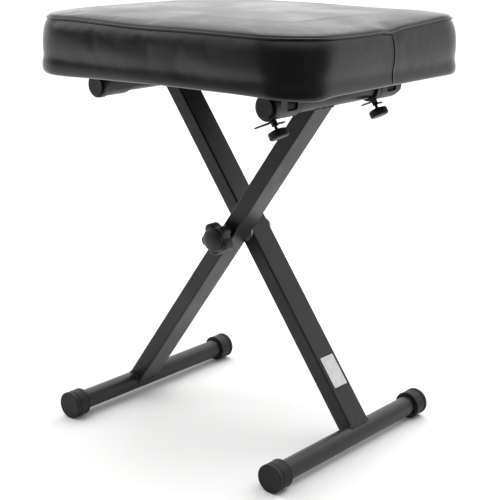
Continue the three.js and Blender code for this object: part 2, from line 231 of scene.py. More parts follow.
def applyModifiers(piece):
    depsgraph = bpy.context.evaluated_depsgraph_get()
    mesh = bpy.data.meshes.new_from_object(piece.evaluated_get(depsgraph), depsgraph=depsgraph)
    piece.modifiers.clear()
    old = piece.data
    piece.data = mesh
    bpy.data.meshes.remove(old)
    return piece


# ---- shader tools ----

def newGroup(name, inputs, outputs):
    group = bpy.data.node_groups.new(name, "ShaderNodeTree")
    for label, kind, value in inputs:
        socket = group.interface.new_socket(name=label, in_out="INPUT", socket_type=kind)
        socket.default_value = value
    for label, kind in outputs:
        group.interface.new_socket(name=label, in_out="OUTPUT", socket_type=kind)
    return group, group.nodes.new("NodeGroupInput"), group.nodes.new("NodeGroupOutput")


def addNode(tree, kind, settings=None, **values):
    # settings are the node's own, values go to its input sockets; a socket given as a value is linked
    node = tree.nodes.new(kind)
    for key, value in (settings or {}).items():
        setattr(node, key, value)
    for key, value in values.items():
        name = key.replace("_", " ")
        socket = node.inputs[int(name[1:])] if name[0] == "n" and name[1:].isdigit() else node.inputs[name]
        if isinstance(value, bpy.types.NodeSocket):
            tree.links.new(value, socket)
        else:
            socket.default_value = value
    return node


def addMath(tree, operation, a, b=0.0, clamp=False):
    return addNode(tree, "ShaderNodeMath", {"operation": operation, "use_clamp": clamp}, n0=a, n1=b).outputs[0]


def addMix(tree, factor, a, b):
    node = tree.nodes.new("ShaderNodeMix")
    node.data_type = "RGBA"
    for socket, value in ((node.inputs[0], factor), (node.inputs[6], a), (node.inputs[7], b)):
        if isinstance(value, bpy.types.NodeSocket):
            tree.links.new(value, socket)
        else:
            socket.default_value = value
    return node.outputs[2]


def addRange(tree, value, fromLow, fromHigh, toLow=0.0, toHigh=1.0):
    node = addNode(tree, "ShaderNodeMapRange", {"interpolation_type": "SMOOTHSTEP"}, n0=value)
    for index, number in enumerate((fromLow, fromHigh, toLow, toHigh), 1):
        node.inputs[index].default_value = number
    return node.outputs[0]


def makeDriftGroup():
    # slow changes of tone over a surface, with a value that also serves the roughness
    group, given, out = newGroup("toneDrift", [
        ("Color", "NodeSocketColor", (0.1, 0.1, 0.1, 1)), ("Second Color", "NodeSocketColor", (0.2, 0.2, 0.2, 1)),
        ("Scale", "NodeSocketFloat", 20), ("Amount", "NodeSocketFloat", 0.5)],
        [("Color", "NodeSocketColor"), ("Value", "NodeSocketFloat")])
    place = addNode(group, "ShaderNodeTexCoord").outputs["Object"]
    broad = addNode(group, "ShaderNodeTexNoise", Vector=place, Scale=given.outputs["Scale"], Detail=5.0,
                    Roughness=0.55)
    value = addRange(group, broad.outputs[0], 0.32, 0.68)
    factor = addMath(group, "MULTIPLY", value, given.outputs["Amount"])
    color = addMix(group, factor, given.outputs["Color"], given.outputs["Second Color"])
    group.links.new(color, out.inputs["Color"])
    group.links.new(value, out.inputs["Value"])
    return group


def makeGrainGroup():
    # pebbled surface of powder coat or moulded plastic
    group, given, out = newGroup("pebbleGrain", [
        ("Scale", "NodeSocketFloat", 900), ("Sharpness", "NodeSocketFloat", 0.5)],
        [("Height", "NodeSocketFloat"), ("Speck", "NodeSocketFloat")])
    place = addNode(group, "ShaderNodeTexCoord").outputs["Object"]
    soft = addNode(group, "ShaderNodeTexNoise", Vector=place, Scale=given.outputs["Scale"], Detail=3.0)
    cells = addNode(group, "ShaderNodeTexVoronoi", {"feature": "SMOOTH_F1"}, Vector=place,
                    Scale=given.outputs["Scale"])
    sharp = addMath(group, "MULTIPLY", cells.outputs["Distance"], given.outputs["Sharpness"])
    height = addMath(group, "ADD", soft.outputs[0], sharp)
    group.links.new(height, out.inputs["Height"])
    group.links.new(addRange(group, soft.outputs[0], 0.56, 0.7), out.inputs["Speck"])
    return group


def makeDustGroup():
    # a thin veil of dust on faces that look up
    group, given, out = newGroup("settledDust", [
        ("Color", "NodeSocketColor", (0.1, 0.1, 0.1, 1)), ("Dust Color", "NodeSocketColor", (0.5, 0.5, 0.48, 1)),
        ("Amount", "NodeSocketFloat", 0.1)],
        [("Color", "NodeSocketColor"), ("Mask", "NodeSocketFloat")])
    normal = addNode(group, "ShaderNodeNewGeometry").outputs["Normal"]
    up = addNode(group, "ShaderNodeSeparateXYZ", Vector=normal).outputs["Z"]
    facing = addRange(group, up, 0.2, 1.0)
    place = addNode(group, "ShaderNodeTexCoord").outputs["Object"]
    patches = addNode(group, "ShaderNodeTexNoise", Vector=place, Scale=35.0, Detail=6.0).outputs[0]
    mask = addMath(group, "MULTIPLY", addMath(group, "MULTIPLY", facing, patches), given.outputs["Amount"], True)
    group.links.new(addMix(group, mask, given.outputs["Color"], given.outputs["Dust Color"]), out.inputs["Color"])
    group.links.new(mask, out.inputs["Mask"])
    return group


def makeHideGroup():
    # fine creases and pores of coated cloth, with long faint waves under them
    group, given, out = newGroup("hideGrain", [
        ("Grain Scale", "NodeSocketFloat", 700), ("Wave Scale", "NodeSocketFloat", 14),
        ("Wave Amount", "NodeSocketFloat", 1.0)],
        [("Height", "NodeSocketFloat"), ("Pores", "NodeSocketFloat"), ("Waves", "NodeSocketFloat")])
    place = addNode(group, "ShaderNodeTexCoord").outputs["Object"]
    bent = addNode(group, "ShaderNodeTexNoise", Vector=place, Scale=160.0, Detail=2.0).outputs["Color"]
    shifted = addNode(group, "ShaderNodeVectorMath", {"operation": "MULTIPLY_ADD"}, n0=bent,
                      n1=(0.0015, 0.0015, 0.0015), n2=place).outputs[0]
    cells = addNode(group, "ShaderNodeTexVoronoi", {"feature": "DISTANCE_TO_EDGE"}, Vector=shifted,
                    Scale=given.outputs["Grain Scale"])
    pores = addRange(group, cells.outputs[0], 0.0, 0.22)
    waves = addNode(group, "ShaderNodeTexNoise", Vector=place, Scale=given.outputs["Wave Scale"], Detail=1.0)
    waveHeight = addMath(group, "MULTIPLY", waves.outputs[0], given.outputs["Wave Amount"])
    group.links.new(addMath(group, "ADD", addMath(group, "MULTIPLY", pores, 0.02), waveHeight),
                    out.inputs["Height"])
    group.links.new(pores, out.inputs["Pores"])
    group.links.new(waves.outputs[0], out.inputs["Waves"])
    return group


def makeWeaveGroup():
    # crossed threads of thin cloth
    group, given, out = newGroup("clothWeave", [("Scale", "NodeSocketFloat", 1500)],
                                 [("Height", "NodeSocketFloat"), ("Fibres", "NodeSocketFloat")])
    place = addNode(group, "ShaderNodeTexCoord").outputs["Object"]
    across = addNode(group, "ShaderNodeTexWave", {"bands_direction": "X"}, Vector=place,
                     Scale=given.outputs["Scale"], Distortion=1.5)
    along = addNode(group, "ShaderNodeTexWave", {"bands_direction": "Y"}, Vector=place,
                    Scale=given.outputs["Scale"], Distortion=1.5)
    fibres = addNode(group, "ShaderNodeTexNoise", Vector=place, Scale=900.0, Detail=4.0).outputs[0]
    threads = addMath(group, "MULTIPLY", across.outputs[1], along.outputs[1])
    group.links.new(addMath(group, "ADD", threads, fibres), out.inputs["Height"])
    group.links.new(fibres, out.inputs["Fibres"])
    return group


toneDrift = makeDriftGroup()
pebbleGrain = makeGrainGroup()
settledDust = makeDustGroup()
hideGrain = makeHideGroup()
clothWeave = makeWeaveGroup()


def useGroup(tree, group, **values):
    return addNode(tree, "ShaderNodeGroup", {"node_tree": group}, **values)


def newFinish(name, **values):
    material = bpy.data.materials.new(name)
    material.use_nodes = True
    tree = material.node_tree
    shader = next(node for node in tree.nodes if node.type == "BSDF_PRINCIPLED")
    for key, value in values.items():
        shader.inputs[key.replace("_", " ")].default_value = value
    return material, tree, shader


def addBump(tree, shader, height, strength, distance):
    bump = addNode(tree, "ShaderNodeBump", Height=height, Strength=strength, Distance=distance)
    tree.links.new(bump.outputs[0], shader.inputs["Normal"])


def gray(value, red=0.0, blue=0.0):
    return (value + red, value, value + blue, 1)


def paintedFinish(name, settings):
    # powder coat, moulded rubber and moulded plastic: tone drift, dust, pebbled bump
    material, tree, shader = newFinish(name, Metallic=settings.get("metallic", 0.0),
                                       Specular_IOR_Level=settings.get("gloss", 0.5))
    drift = useGroup(tree, toneDrift, Color=settings["color"], Second_Color=settings["second"],
                     Scale=settings["driftScale"], Amount=0.8)
    grain = useGroup(tree, pebbleGrain, Scale=settings["grainScale"], Sharpness=0.5)
    dust = useGroup(tree, settledDust, Color=drift.outputs["Color"], Amount=settings["dust"])
    tree.links.new(dust.outputs["Color"], shader.inputs["Base Color"])
    low, high = settings["roughness"]
    rough = addRange(tree, drift.outputs["Value"], 0.0, 1.0, low, high)
    speck = addMath(tree, "MULTIPLY", grain.outputs["Speck"], 0.06)
    tree.links.new(addMath(tree, "ADD", rough, speck), shader.inputs["Roughness"])
    addBump(tree, shader, grain.outputs["Height"], settings["bump"], 0.0002)
    return material


def steelFinish(name, color, roughness):
    material, tree, shader = newFinish(name, Metallic=1.0)
    drift = useGroup(tree, toneDrift, Color=color, Second_Color=gray(color[1] * 0.7), Scale=60.0, Amount=0.7)
    grain = useGroup(tree, pebbleGrain, Scale=2500.0, Sharpness=0.2)
    tree.links.new(drift.outputs["Color"], shader.inputs["Base Color"])
    tree.links.new(addRange(tree, drift.outputs["Value"], 0, 1, roughness, roughness + 0.14),
                   shader.inputs["Roughness"])
    addBump(tree, shader, grain.outputs["Height"], 0.12, 0.0001)
    return material


def vinylFinish(name):
    vinyl = {"color": gray(0.0105, 0.0003, 0.0005), "second": gray(0.016, 0.0002, 0.0006), "roughness": (0.25, 0.34)}
    material, tree, shader = newFinish(name, Specular_IOR_Level=0.42, Coat_Weight=0.04, Coat_Roughness=0.25)
    drift = useGroup(tree, toneDrift, Color=vinyl["color"], Second_Color=vinyl["second"], Scale=9.0, Amount=1.0)
    grain = useGroup(tree, hideGrain, Grain_Scale=620.0, Wave_Scale=11.0, Wave_Amount=1.0)
    tree.links.new(drift.outputs["Color"], shader.inputs["Base Color"])
    rough = addRange(tree, drift.outputs["Value"], 0.0, 1.0, *vinyl["roughness"])
    pores = addRange(tree, grain.outputs["Pores"], 0.0, 1.0, 0.05, 0.0)
    tree.links.new(addMath(tree, "ADD", rough, pores), shader.inputs["Roughness"])
    addBump(tree, shader, grain.outputs["Height"], 0.3, 0.0016)
    return material


def clothFinish(name):
    material, tree, shader = newFinish(name, Roughness=0.95, Sheen_Weight=0.2)
    weave = useGroup(tree, clothWeave, Scale=420.0)
    color = addMix(tree, weave.outputs["Fibres"], gray(0.008), gray(0.03))
    tree.links.new(color, shader.inputs["Base Color"])
    addBump(tree, shader, weave.outputs["Height"], 0.4, 0.0003)
    return material


def foamFinish(name):
    material, tree, shader = newFinish(name, Roughness=0.95)
    drift = useGroup(tree, toneDrift, Color=(0.66, 0.6, 0.42, 1), Second_Color=(0.74, 0.69, 0.52, 1), Scale=30.0,
                     Amount=1.0)
    grain = useGroup(tree, pebbleGrain, Scale=900.0, Sharpness=1.0)
    tree.links.new(drift.outputs["Color"], shader.inputs["Base Color"])
    addBump(tree, shader, grain.outputs["Height"], 0.6, 0.0006)
    return material


def plywoodFinish(name):
    material, tree, shader = newFinish(name, Roughness=0.7)
    place = addNode(tree, "ShaderNodeTexCoord").outputs["Object"]
    stretched = addNode(tree, "ShaderNodeMapping", Vector=place, Scale=(6, 60, 400)).outputs[0]
    rings = addNode(tree, "ShaderNodeTexNoise", Vector=stretched, Scale=1.6, Detail=7.0).outputs[0]
    fade = addRange(tree, rings, 0.3, 0.7)
    tree.links.new(addMix(tree, fade, (0.5, 0.33, 0.17, 1), (0.68, 0.5, 0.3, 1)), shader.inputs["Base Color"])
    addBump(tree, shader, rings, 0.3, 0.0003)
    return material


def paperFinish(name):
    material, tree, shader = newFinish(name, Roughness=0.55)
    drift = useGroup(tree, toneDrift, Color=gray(0.8), Second_Color=gray(0.66), Scale=120.0, Amount=0.6)
    grain = useGroup(tree, pebbleGrain, Scale=1800.0, Sharpness=0.2)
    tree.links.new(drift.outputs["Color"], shader.inputs["Base Color"])
    addBump(tree, shader, grain.outputs["Height"], 0.15, 0.0001)
    return material


paint = {"color": gray(0.0075, 0.0004, -0.0004), "second": gray(0.012, 0.0004, -0.0006), "driftScale": 14.0,
         "roughness": (0.36, 0.46), "grainScale": 1500.0, "bump": 0.22, "dust": 0.03, "gloss": 0.42}
rubber = {"color": gray(0.011, -0.001, -0.0006), "second": gray(0.017, -0.0014, -0.001), "driftScale": 40.0,
          "roughness": (0.6, 0.75), "grainScale": 1900.0, "bump": 0.3, "dust": 0.06, "gloss": 0.36}
plastic = {"color": gray(0.009, 0, -0.0003), "second": gray(0.014, 0, -0.0003), "driftScale": 50.0,
           "roughness": (0.42, 0.52), "grainScale": 1700.0, "bump": 0.28, "dust": 0.06, "gloss": 0.5}
finishes = {
    "frame_paint": paintedFinish("satinPowderCoat", paint),
    "cap_rubber": paintedFinish("mouldedRubber", rubber),
    "black_plastic": paintedFinish("mouldedPlastic", plastic),
    "zinc_steel": steelFinish("zincSteel", gray(0.5), 0.28),
    "seat_vinyl": vinylFinish("seatVinyl"),
    "plywood": plywoodFinish("plywoodBoard"),
    "foam": foamFinish("seatFoam"),
    "dust_cloth": clothFinish("dustCloth"),
    "label_paper": paperFinish("labelPaper"),
}
print("finishes made:", len(finishes))


# ---- steel frame ----

tubeSpec = {"wall": 1.8 * mm, "edge": 0.4 * mm}
pivot = Vector(joints["frame_fold"]["pos_m"])
towardRear = Vector((0, 1, 0))


def bodyOf(node):
    return nodes[node]["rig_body"]


def roundTube(node, name):
    centre = middle(node)
    size = extent(node)
    radius = size.z / 2
    half = size.y / 2
    inner = radius - tubeSpec["wall"]
    outline = softOutline([(inner, -half, tubeSpec["edge"]), (radius, -half, tubeSpec["edge"]),
                           (radius, half, tubeSpec["edge"]), (inner, half, tubeSpec["edge"])], 2, True)
    bm = bmesh.new()
    turnInto(bm, outline, standing(centre, towardRear, (0, 0, 1)), 72, closed=True)
    return fit(newPiece(name, bm), bodyOf(node), "frame_paint", node)


for side in sides:
    roundTube(f"{side}_foot_tube", f"{side}FootTube")
    roundTube(f"{side}_top_tube", f"{side}TopTube")

legSpec = {"across": 22 * mm, "corner": 2.6 * mm, "intoTube": 0.4 * mm, "weldRadius": 2.1 * mm}


def legOutline(deep):
    x = legSpec["across"] / 2
    y = deep / 2
    r = legSpec["corner"]
    half = softOutline([(-x, 0), (-x, -y, r), (x, -y, r), (x, 0)], 5)[1:-1]
    return half + [Vector((p.x, -p.y)) for p in reversed(half)]


def legPlace(node, footTube):
    foot = middle(footTube)
    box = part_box(node)
    centre = Vector((pivot.x, (box[0].y + box[1].y) / 2, pivot.z))
    down = Vector((foot.x - pivot.x, 0, foot.z - pivot.z))
    return standing(centre, -down), down.length


def leg(node, name, footTube, topTube):
    place, footReach = legPlace(node, footTube)
    top = middle(topTube)
    topReach = Vector((top.x - pivot.x, 0, top.z - pivot.z)).length
    footRadius = extent(footTube).z / 2 - legSpec["intoTube"]
    topRadius = extent(topTube).z / 2 - legSpec["intoTube"]
    outline = legOutline(extent(node).y)
    bm = bmesh.new()
    rings = []
    for share in (0, 0.12, 0.3, 0.5, 0.7, 0.88, 1):
        ring = []
        for point in outline:
            low = -footReach + math.sqrt(footRadius ** 2 - point.x ** 2)
            high = topReach - math.sqrt(topRadius ** 2 - point.x ** 2)
            ring.append(bm.verts.new(place @ Vector((point.x, point.y, low + (high - low) * share))))
        rings.append(ring)
    for first, second in zip(rings, rings[1:]):
        joinRings(bm, first, second)
    count = len(outline)
    for ring in (rings[0], rings[-1]):
        for i in range(count // 2 - 1):
            bm.faces.new((ring[i], ring[i + 1], ring[count - 2 - i], ring[count - 1 - i]))
    fit(newPiece(name, bm, 50), bodyOf(node), "frame_paint", node)
    weldBead(name + "FootWeld", bodyOf(node), outline, place, -footReach, extent(footTube).z / 2, 1)
    weldBead(name + "TopWeld", bodyOf(node), outline, place, topReach, extent(topTube).z / 2, -1)


def weldBead(name, body, outline, place, reach, radius, way):
    # a lumpy bead round the joint
    path = []
    for point in evenSteps([p.to_3d() for p in outline + outline[:1]], 1.1 * mm)[:-1]:
        cope = way * math.sqrt(max(radius ** 2 - point.x ** 2, 0))
        path.append(place @ Vector((point.x, point.y, reach + cope)))
    bm = bmesh.new()
    rings = []
    count = len(path)
    axis = place.to_3x3() @ Vector((0, 0, 1))
    for i, point in enumerate(path):
        ahead = (path[(i + 1) % count] - path[i - 1]).normalized()
        outward = ahead.cross(axis).normalized()
        across = outward.cross(ahead).normalized()
        ripple = 0.78 + 0.16 * math.sin(i * 1.9) + 0.5 * noise.noise(point * 260)
        r = legSpec["weldRadius"] * max(ripple, 0.45)
        ring = []
        for k in range(8):
            angle = 2 * math.pi * k / 8
            ring.append(bm.verts.new(point + r * (math.cos(angle) * outward + math.sin(angle) * across)))
        rings.append(ring)
    for i in range(count):
        joinRings(bm, rings[i], rings[(i + 1) % count])
    fit(newPiece(name, bm, 80, False), body, "frame_paint")


leg("near_leg", "nearLeg", "left_foot_tube", "right_top_tube")
leg("far_leg", "farLeg", "right_foot_tube", "left_top_tube")
print("steel frame made")


# ---- caps, plugs and collars ----

footCapSpec = {"edge": 1.5 * mm, "flange": 4.6 * mm, "groove": 1.3 * mm, "grooveEnd": 8.6 * mm,
               "skirt": 0.35 * mm, "rim": 0.55 * mm, "dish": 0.35 * mm}


def footCap(side, end):
    node = f"{side}_{end}_foot_cap"
    low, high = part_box(node)
    radius = (high.z - low.z) / 2
    length = high.y - low.y
    bore = extent(f"{side}_foot_tube").z / 2 + 0.25 * mm
    faceY = low.y if end == "front" else high.y
    inward = towardRear if end == "front" else -towardRear
    c = footCapSpec
    outline = softOutline([
        (0, c["dish"]), (radius * 0.72, c["dish"], 1.2 * mm), (radius * 0.8, 0, 0.8 * mm), (radius, 0, c["edge"]),
        (radius, c["flange"], 0.7 * mm), (radius - c["groove"], c["flange"] + 0.8 * mm, 0.6 * mm),
        (radius - c["groove"], c["grooveEnd"] - 0.7 * mm, 0.6 * mm), (radius - c["skirt"], c["grooveEnd"], 0.7 * mm),
        (radius - c["skirt"], length - 2.2 * mm, 0.6 * mm), (radius, length - 1.6 * mm, 0.5 * mm),
        (radius, length, 0.7 * mm), (bore, length, c["rim"]), (bore, c["flange"]), (0, c["flange"])], 4)
    bm = bmesh.new()
    centre = Vector(((low.x + high.x) / 2, faceY, (low.z + high.z) / 2))
    turnInto(bm, outline, standing(centre, inward, (0, 0, 1)), 72)
    fit(newPiece(f"{side}{end.title()}FootCap", bm, 50), bodyOf(node), "cap_rubber", node)


def topPlug(side, end):
    node = f"{side}_{end}_top_plug"
    low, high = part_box(node)
    radius = (high.z - low.z) / 2
    length = high.y - low.y
    faceY = low.y if end == "front" else high.y
    inward = towardRear if end == "front" else -towardRear
    shank = radius - 2.1 * mm
    outline = softOutline([
        (0, 0.25 * mm), (radius - 3 * mm, 0.2 * mm, 1 * mm), (radius, 0, 1.3 * mm), (radius, 2.5 * mm, 0.3 * mm),
        (shank, 2.6 * mm, 0.3 * mm), (shank, length, 0.8 * mm), (0, length)], 4)
    bm = bmesh.new()
    centre = Vector(((low.x + high.x) / 2, faceY, (low.z + high.z) / 2))
    turnInto(bm, outline, standing(centre, inward, (0, 0, 1)), 64)
    fit(newPiece(f"{side}{end.title()}TopPlug", bm, 50), bodyOf(node), "black_plastic", node)


def collar(side, end):
    node = f"{side}_{end}_collar"
    size = extent(node)
    radius = size.z / 2
    half = size.y / 2
    bore = extent(f"{side}_top_tube").z / 2 + 0.2 * mm
    outline = softOutline([(bore, -half, 0.4 * mm), (radius, -half, 1 * mm), (radius, half, 1 * mm),
                           (bore, half, 0.4 * mm)], 4, True)
    bm = bmesh.new()
    turnInto(bm, outline, standing(middle(node), towardRear, (0, 0, 1)), 64, closed=True)
    fit(newPiece(f"{side}{end.title()}Collar", bm, 50), bodyOf(node), "black_plastic", node)


for side in sides:
    for end in ends:
        footCap(side, end)
        topPlug(side, end)
        collar(side, end)
print("caps, plugs and collars made")


# ---- saddles ----

saddleSpec = {"inner": 13.3 * mm, "thickness": 2.2 * mm, "flange": 34 * mm, "bend": 2.6 * mm,
              "window": (20 * mm, 6.2 * mm, 5.2 * mm), "windowCorner": 3 * mm, "cornerCut": 8.5 * mm,
              "lip": 10 * mm, "plate": 27 * mm, "screwHole": 2.3 * mm}


def strapPath(isOpen, top):
    # the strap's middle line across the tube, from its outer flange
    r = saddleSpec["inner"] + saddleSpec["thickness"] / 2
    level = top - saddleSpec["thickness"] / 2
    down = softOutline([(saddleSpec["flange"], level), (r, level, saddleSpec["bend"]), (r, 0.1 * mm)], 5)
    if isOpen:
        under = [Vector(p) for p in arcLine((0, 0), r, 0, -90, 14)]
        return down + under + [Vector((-saddleSpec["lip"], -r))]
    under = [Vector(p) for p in arcLine((0, 0), r, 0, -180, 28)]
    return down + under + [Vector((-p.x, p.y)) for p in reversed(down)]


def flatStrap(bm, path, startY, endY, window, holes, cutCorner):
    # draws the strap flat, cuts its window and holes, then folds it along the path
    lengths = [0.0]
    for a, b in zip(path, path[1:]):
        lengths.append(lengths[-1] + (b - a).length)
    total = lengths[-1]

    def at(s):
        for i in range(len(path) - 1):
            if s <= lengths[i + 1] or i == len(path) - 2:
                span = max(lengths[i + 1] - lengths[i], 1e-9)
                return path[i].lerp(path[i + 1], (s - lengths[i]) / span)

    def farEdge(s):
        depth = -at(s).y - saddleSpec["inner"] + cutCorner
        return endY - max(0.0, depth) if cutCorner else endY

    samples = [total * i / 60 for i in range(61)]
    border = softOutline([(0, startY, 2 * mm), (total, startY, 2 * mm)]
                         + [(s, farEdge(s)) for s in reversed(samples)],
                         4, True)
    loops = [border]
    if window:
        width, above, below = window
        middleY = (startY + endY) / 2
        turn = next(lengths[i] for i in range(len(path)) if path[i].y <= 0.2 * mm)
        c = saddleSpec["windowCorner"]
        loops.append(softOutline([(turn - above, middleY - width / 2, c), (turn + below, middleY - width / 2, c),
                                  (turn + below, middleY + width / 2, c), (turn - above, middleY + width / 2, c)],
                                 4, True))
    for s, y in holes:
        loops.append([Vector(p) for p in arcLine((s, y), saddleSpec["screwHole"], 0, 345, 23)])
    sheet = bmesh.new()
    edges = []
    for loop in loops:
        ring = [sheet.verts.new((p.x, p.y, 0)) for p in loop]
        edges += [sheet.edges.new((ring[i], ring[(i + 1) % len(ring)])) for i in range(len(ring))]
    bmesh.ops.triangle_fill(sheet, use_beauty=True, use_dissolve=False, edges=edges)
    for s in lengths[1:-1]:
        geometry = sheet.verts[:] + sheet.edges[:] + sheet.faces[:]
        bmesh.ops.bisect_plane(sheet, geom=geometry, dist=1e-7, plane_co=(s, 0, 0), plane_no=(1, 0, 0))
    flats = {vertex: at(vertex.co.x) for vertex in sheet.verts}
    for vertex, place in flats.items():
        vertex.co = Vector((place.x, vertex.co.y, place.y))
    mesh = bpy.data.meshes.new("strapSheet")
    sheet.to_mesh(mesh)
    sheet.free()
    bm.from_mesh(mesh)
    bpy.data.meshes.remove(mesh)


def saddle(side, end):
    node = f"{side}_{end}_saddle"
    low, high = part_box(node)
    tube = middle(f"{side}_top_tube")
    top = high.z - tube.z
    isOpen = side == "right"
    path = strapPath(isOpen, top)
    screws = sorted(middle(f"{side}_{end}_screw_{which}").x - tube.x for which in ("outer", "inner"))
    middleY = (low.y + high.y) / 2
    outer = max(abs(x) for x in screws)
    holeS = saddleSpec["flange"] - outer
    total = sum((b - a).length for a, b in zip(path, path[1:]))
    bm = bmesh.new()
    holes = [(holeS, middleY)] if isOpen else [(holeS, middleY), (total - holeS, middleY)]
    flatStrap(bm, path, low.y, high.y, saddleSpec["window"], holes, saddleSpec["cornerCut"])
    if isOpen:
        level = top - saddleSpec["thickness"] / 2
        plate = [Vector((saddleSpec["inner"] - 0.6 * mm, level)), Vector((-saddleSpec["plate"], level))]
        inner = plate[0].x - min(screws)
        flatStrap(bm, plate, low.y, high.y, None, [(inner, middleY)], 0)
    flip = 1 if isOpen else -1
    for vertex in bm.verts:
        vertex.co = Vector((tube.x + flip * vertex.co.x, vertex.co.y, tube.z + vertex.co.z))
    piece = newPiece(f"{side}{end.title()}Saddle", bm, 40, False)
    sheet = piece.modifiers.new("sheetSteel", "SOLIDIFY")
    sheet.thickness = saddleSpec["thickness"] - 0.1 * mm
    sheet.offset = 0
    sheet.use_even_offset = True
    edge = piece.modifiers.new("brokenEdge", "BEVEL")
    edge.width = 0.45 * mm
    edge.segments = 2
    edge.limit_method = "ANGLE"
    edge.angle_limit = math.radians(50)
    applyModifiers(piece)
    piece.data.shade_smooth()
    piece.data.set_sharp_from_angle(angle=math.radians(45))
    piece.modifiers.new("evenShading", "WEIGHTED_NORMAL").keep_sharp = True
    fit(piece, seatBody, "frame_paint", node)
    # painted shade: a dark sleeve darkens the tube seen through the saddle window
    windowShadeSleeve(side, end)


def windowShadeSleeve(side, end):
    # painted shade: a thin dark sleeve on the tube under the saddle, so the tube seen through the window looks
    # shadowed
    shadeSleeve = {"inner": 0.05 * mm, "outer": 0.22 * mm, "reach": 80, "margin": 1 * mm}
    low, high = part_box(f"{side}_{end}_saddle")
    tube = middle(f"{side}_top_tube")
    radius = extent(f"{side}_top_tube").z / 2
    flip = 1 if side == "right" else -1
    reach = shadeSleeve["reach"]
    inside = arcLine((0, 0), radius + shadeSleeve["inner"], -reach, reach, 25)
    outside = arcLine((0, 0), radius + shadeSleeve["outer"], -reach, reach, 25)
    outline = inside + outside[::-1]
    bm = bmesh.new()
    rings = [[bm.verts.new((tube.x + flip * p[0], y, tube.z + p[1])) for p in outline]
             for y in (low.y + shadeSleeve["margin"], high.y - shadeSleeve["margin"])]
    for i in range(len(outline)):
        k = (i + 1) % len(outline)
        bm.faces.new((rings[0][i], rings[0][k], rings[1][k], rings[1][i]))
    bm.faces.new(rings[0])
    bm.faces.new(rings[1])
    bmesh.ops.recalc_face_normals(bm, faces=bm.faces[:])
    fit(newPiece(f"{side}{end.title()}SaddleShadeSleeve", bm, 40, False), seatBody, "cap_rubber")


def saddleScrew(node):
    low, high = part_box(node)
    centre = (low + high) / 2
    radius = (high.x - low.x) / 2
    head = low.z
    shank = 1.9 * mm
    outline = softOutline([
        (0, 1.5 * mm), (1.5 * mm, 1.3 * mm, 0.1 * mm), (1.75 * mm, 0.1 * mm, 0.15 * mm), (2.5 * mm, 0, 0.6 * mm),
        (radius, 1.0 * mm, 0.6 * mm), (radius, 1.95 * mm, 0.2 * mm), (shank, 2.0 * mm)], 3)
    pitch = 1.25 * mm
    height = 2.6 * mm
    while height < high.z - head - 2 * mm:
        outline += [Vector((shank - 0.25 * mm, height)), Vector((shank, height + pitch / 2))]
        height += pitch
    outline.append(Vector((0, high.z - head)))
    bm = bmesh.new()
    turnInto(bm, outline, standing((centre.x, centre.y, head), (0, 0, 1)), 28)
    name = "".join(word.title() for word in node.split("_"))
    fit(newPiece(name[0].lower() + name[1:], bm), seatBody, "zinc_steel", node)


for side in sides:
    for end in ends:
        saddle(side, end)
        for which in ("outer", "inner"):
            saddleScrew(f"{side}_{end}_screw_{which}")
print("saddles made")


# ---- pivot: bolt, washers, discs and star knob ----

pivotSpec = {"boltRadius": 5 * mm, "lobes": 5, "firstLobe": 50, "lobeMean": 19.4 * mm, "lobeReach": 3.1 * mm,
             "dome": 16.3 * mm, "backStep": 3 * mm, "gripEnd": 20 * mm, "tip": 27.5 * mm}


def ringPiece(node, name, bore, slotName, edge):
    low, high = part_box(node)
    radius = (high.z - low.z) / 2
    half = (high.y - low.y) / 2
    outline = softOutline([(bore, -half, edge), (radius, -half, edge), (radius, half, edge),
                           (bore, half, edge)], 3, True)
    bm = bmesh.new()
    turnInto(bm, outline, standing((pivot.x, (low.y + high.y) / 2, pivot.z), towardRear, (0, 0, 1)), 56, closed=True)
    fit(newPiece(name, bm), bodyOf(node), slotName, node)


def lockDisc(node, name):
    low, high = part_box(node)
    radius = (high.z - low.z) / 2
    half = (high.y - low.y) / 2
    teeth = 36

    def toothed(r, height, angle):
        return r - 0.9 * mm * (0.5 - 0.5 * math.cos(teeth * angle)) if r > radius * 0.9 else r

    bore = pivotSpec["boltRadius"] + 0.3 * mm
    outline = [(bore, -half), (radius, -half), (radius, half), (bore, half)]
    bm = bmesh.new()
    turnInto(bm, outline, standing((pivot.x, (low.y + high.y) / 2, pivot.z), towardRear, (0, 0, 1)), 144, toothed,
             True)
    fit(newPiece(name, bm, 30), bodyOf(node), "zinc_steel", node)


def pivotBolt():
    low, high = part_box("pivot_bolt")
    r = pivotSpec["boltRadius"]
    length = high.y - low.y
    headStart = length - 6.6 * mm
    outline = [(0, 0), (r - 0.9 * mm, 0)]
    height = 0.9 * mm
    while height < 26 * mm:
        outline += [(r, height), (r - 0.35 * mm, height + 0.75 * mm)]
        height += 1.5 * mm
    outline += softOutline([(r, height), (r, headStart, 0.2 * mm), (9 * mm, headStart, 0.3 * mm),
                            (9 * mm, headStart + 3.4 * mm, 0.8 * mm), (7 * mm, length - 0.9 * mm, 1.4 * mm),
                            (3.4 * mm, length, 0.3 * mm), (3.1 * mm, length - 2.4 * mm, 0.2 * mm),
                            (0, length - 2.8 * mm)], 4)

    def hexHead(radius, heightHere, angle):
        if heightHere < headStart + 0.2 * mm or radius < 7.5 * mm:
            return radius
        turn = (angle + math.pi / 6) % (math.pi / 3) - math.pi / 6
        return min(radius, 7.95 * mm / math.cos(turn))

    bm = bmesh.new()
    turnInto(bm, outline, standing((pivot.x, low.y, pivot.z), towardRear, (0, 0, 1)), 72, hexHead)
    fit(newPiece("pivotBolt", bm, 30), nearBody, "zinc_steel", "pivot_bolt")


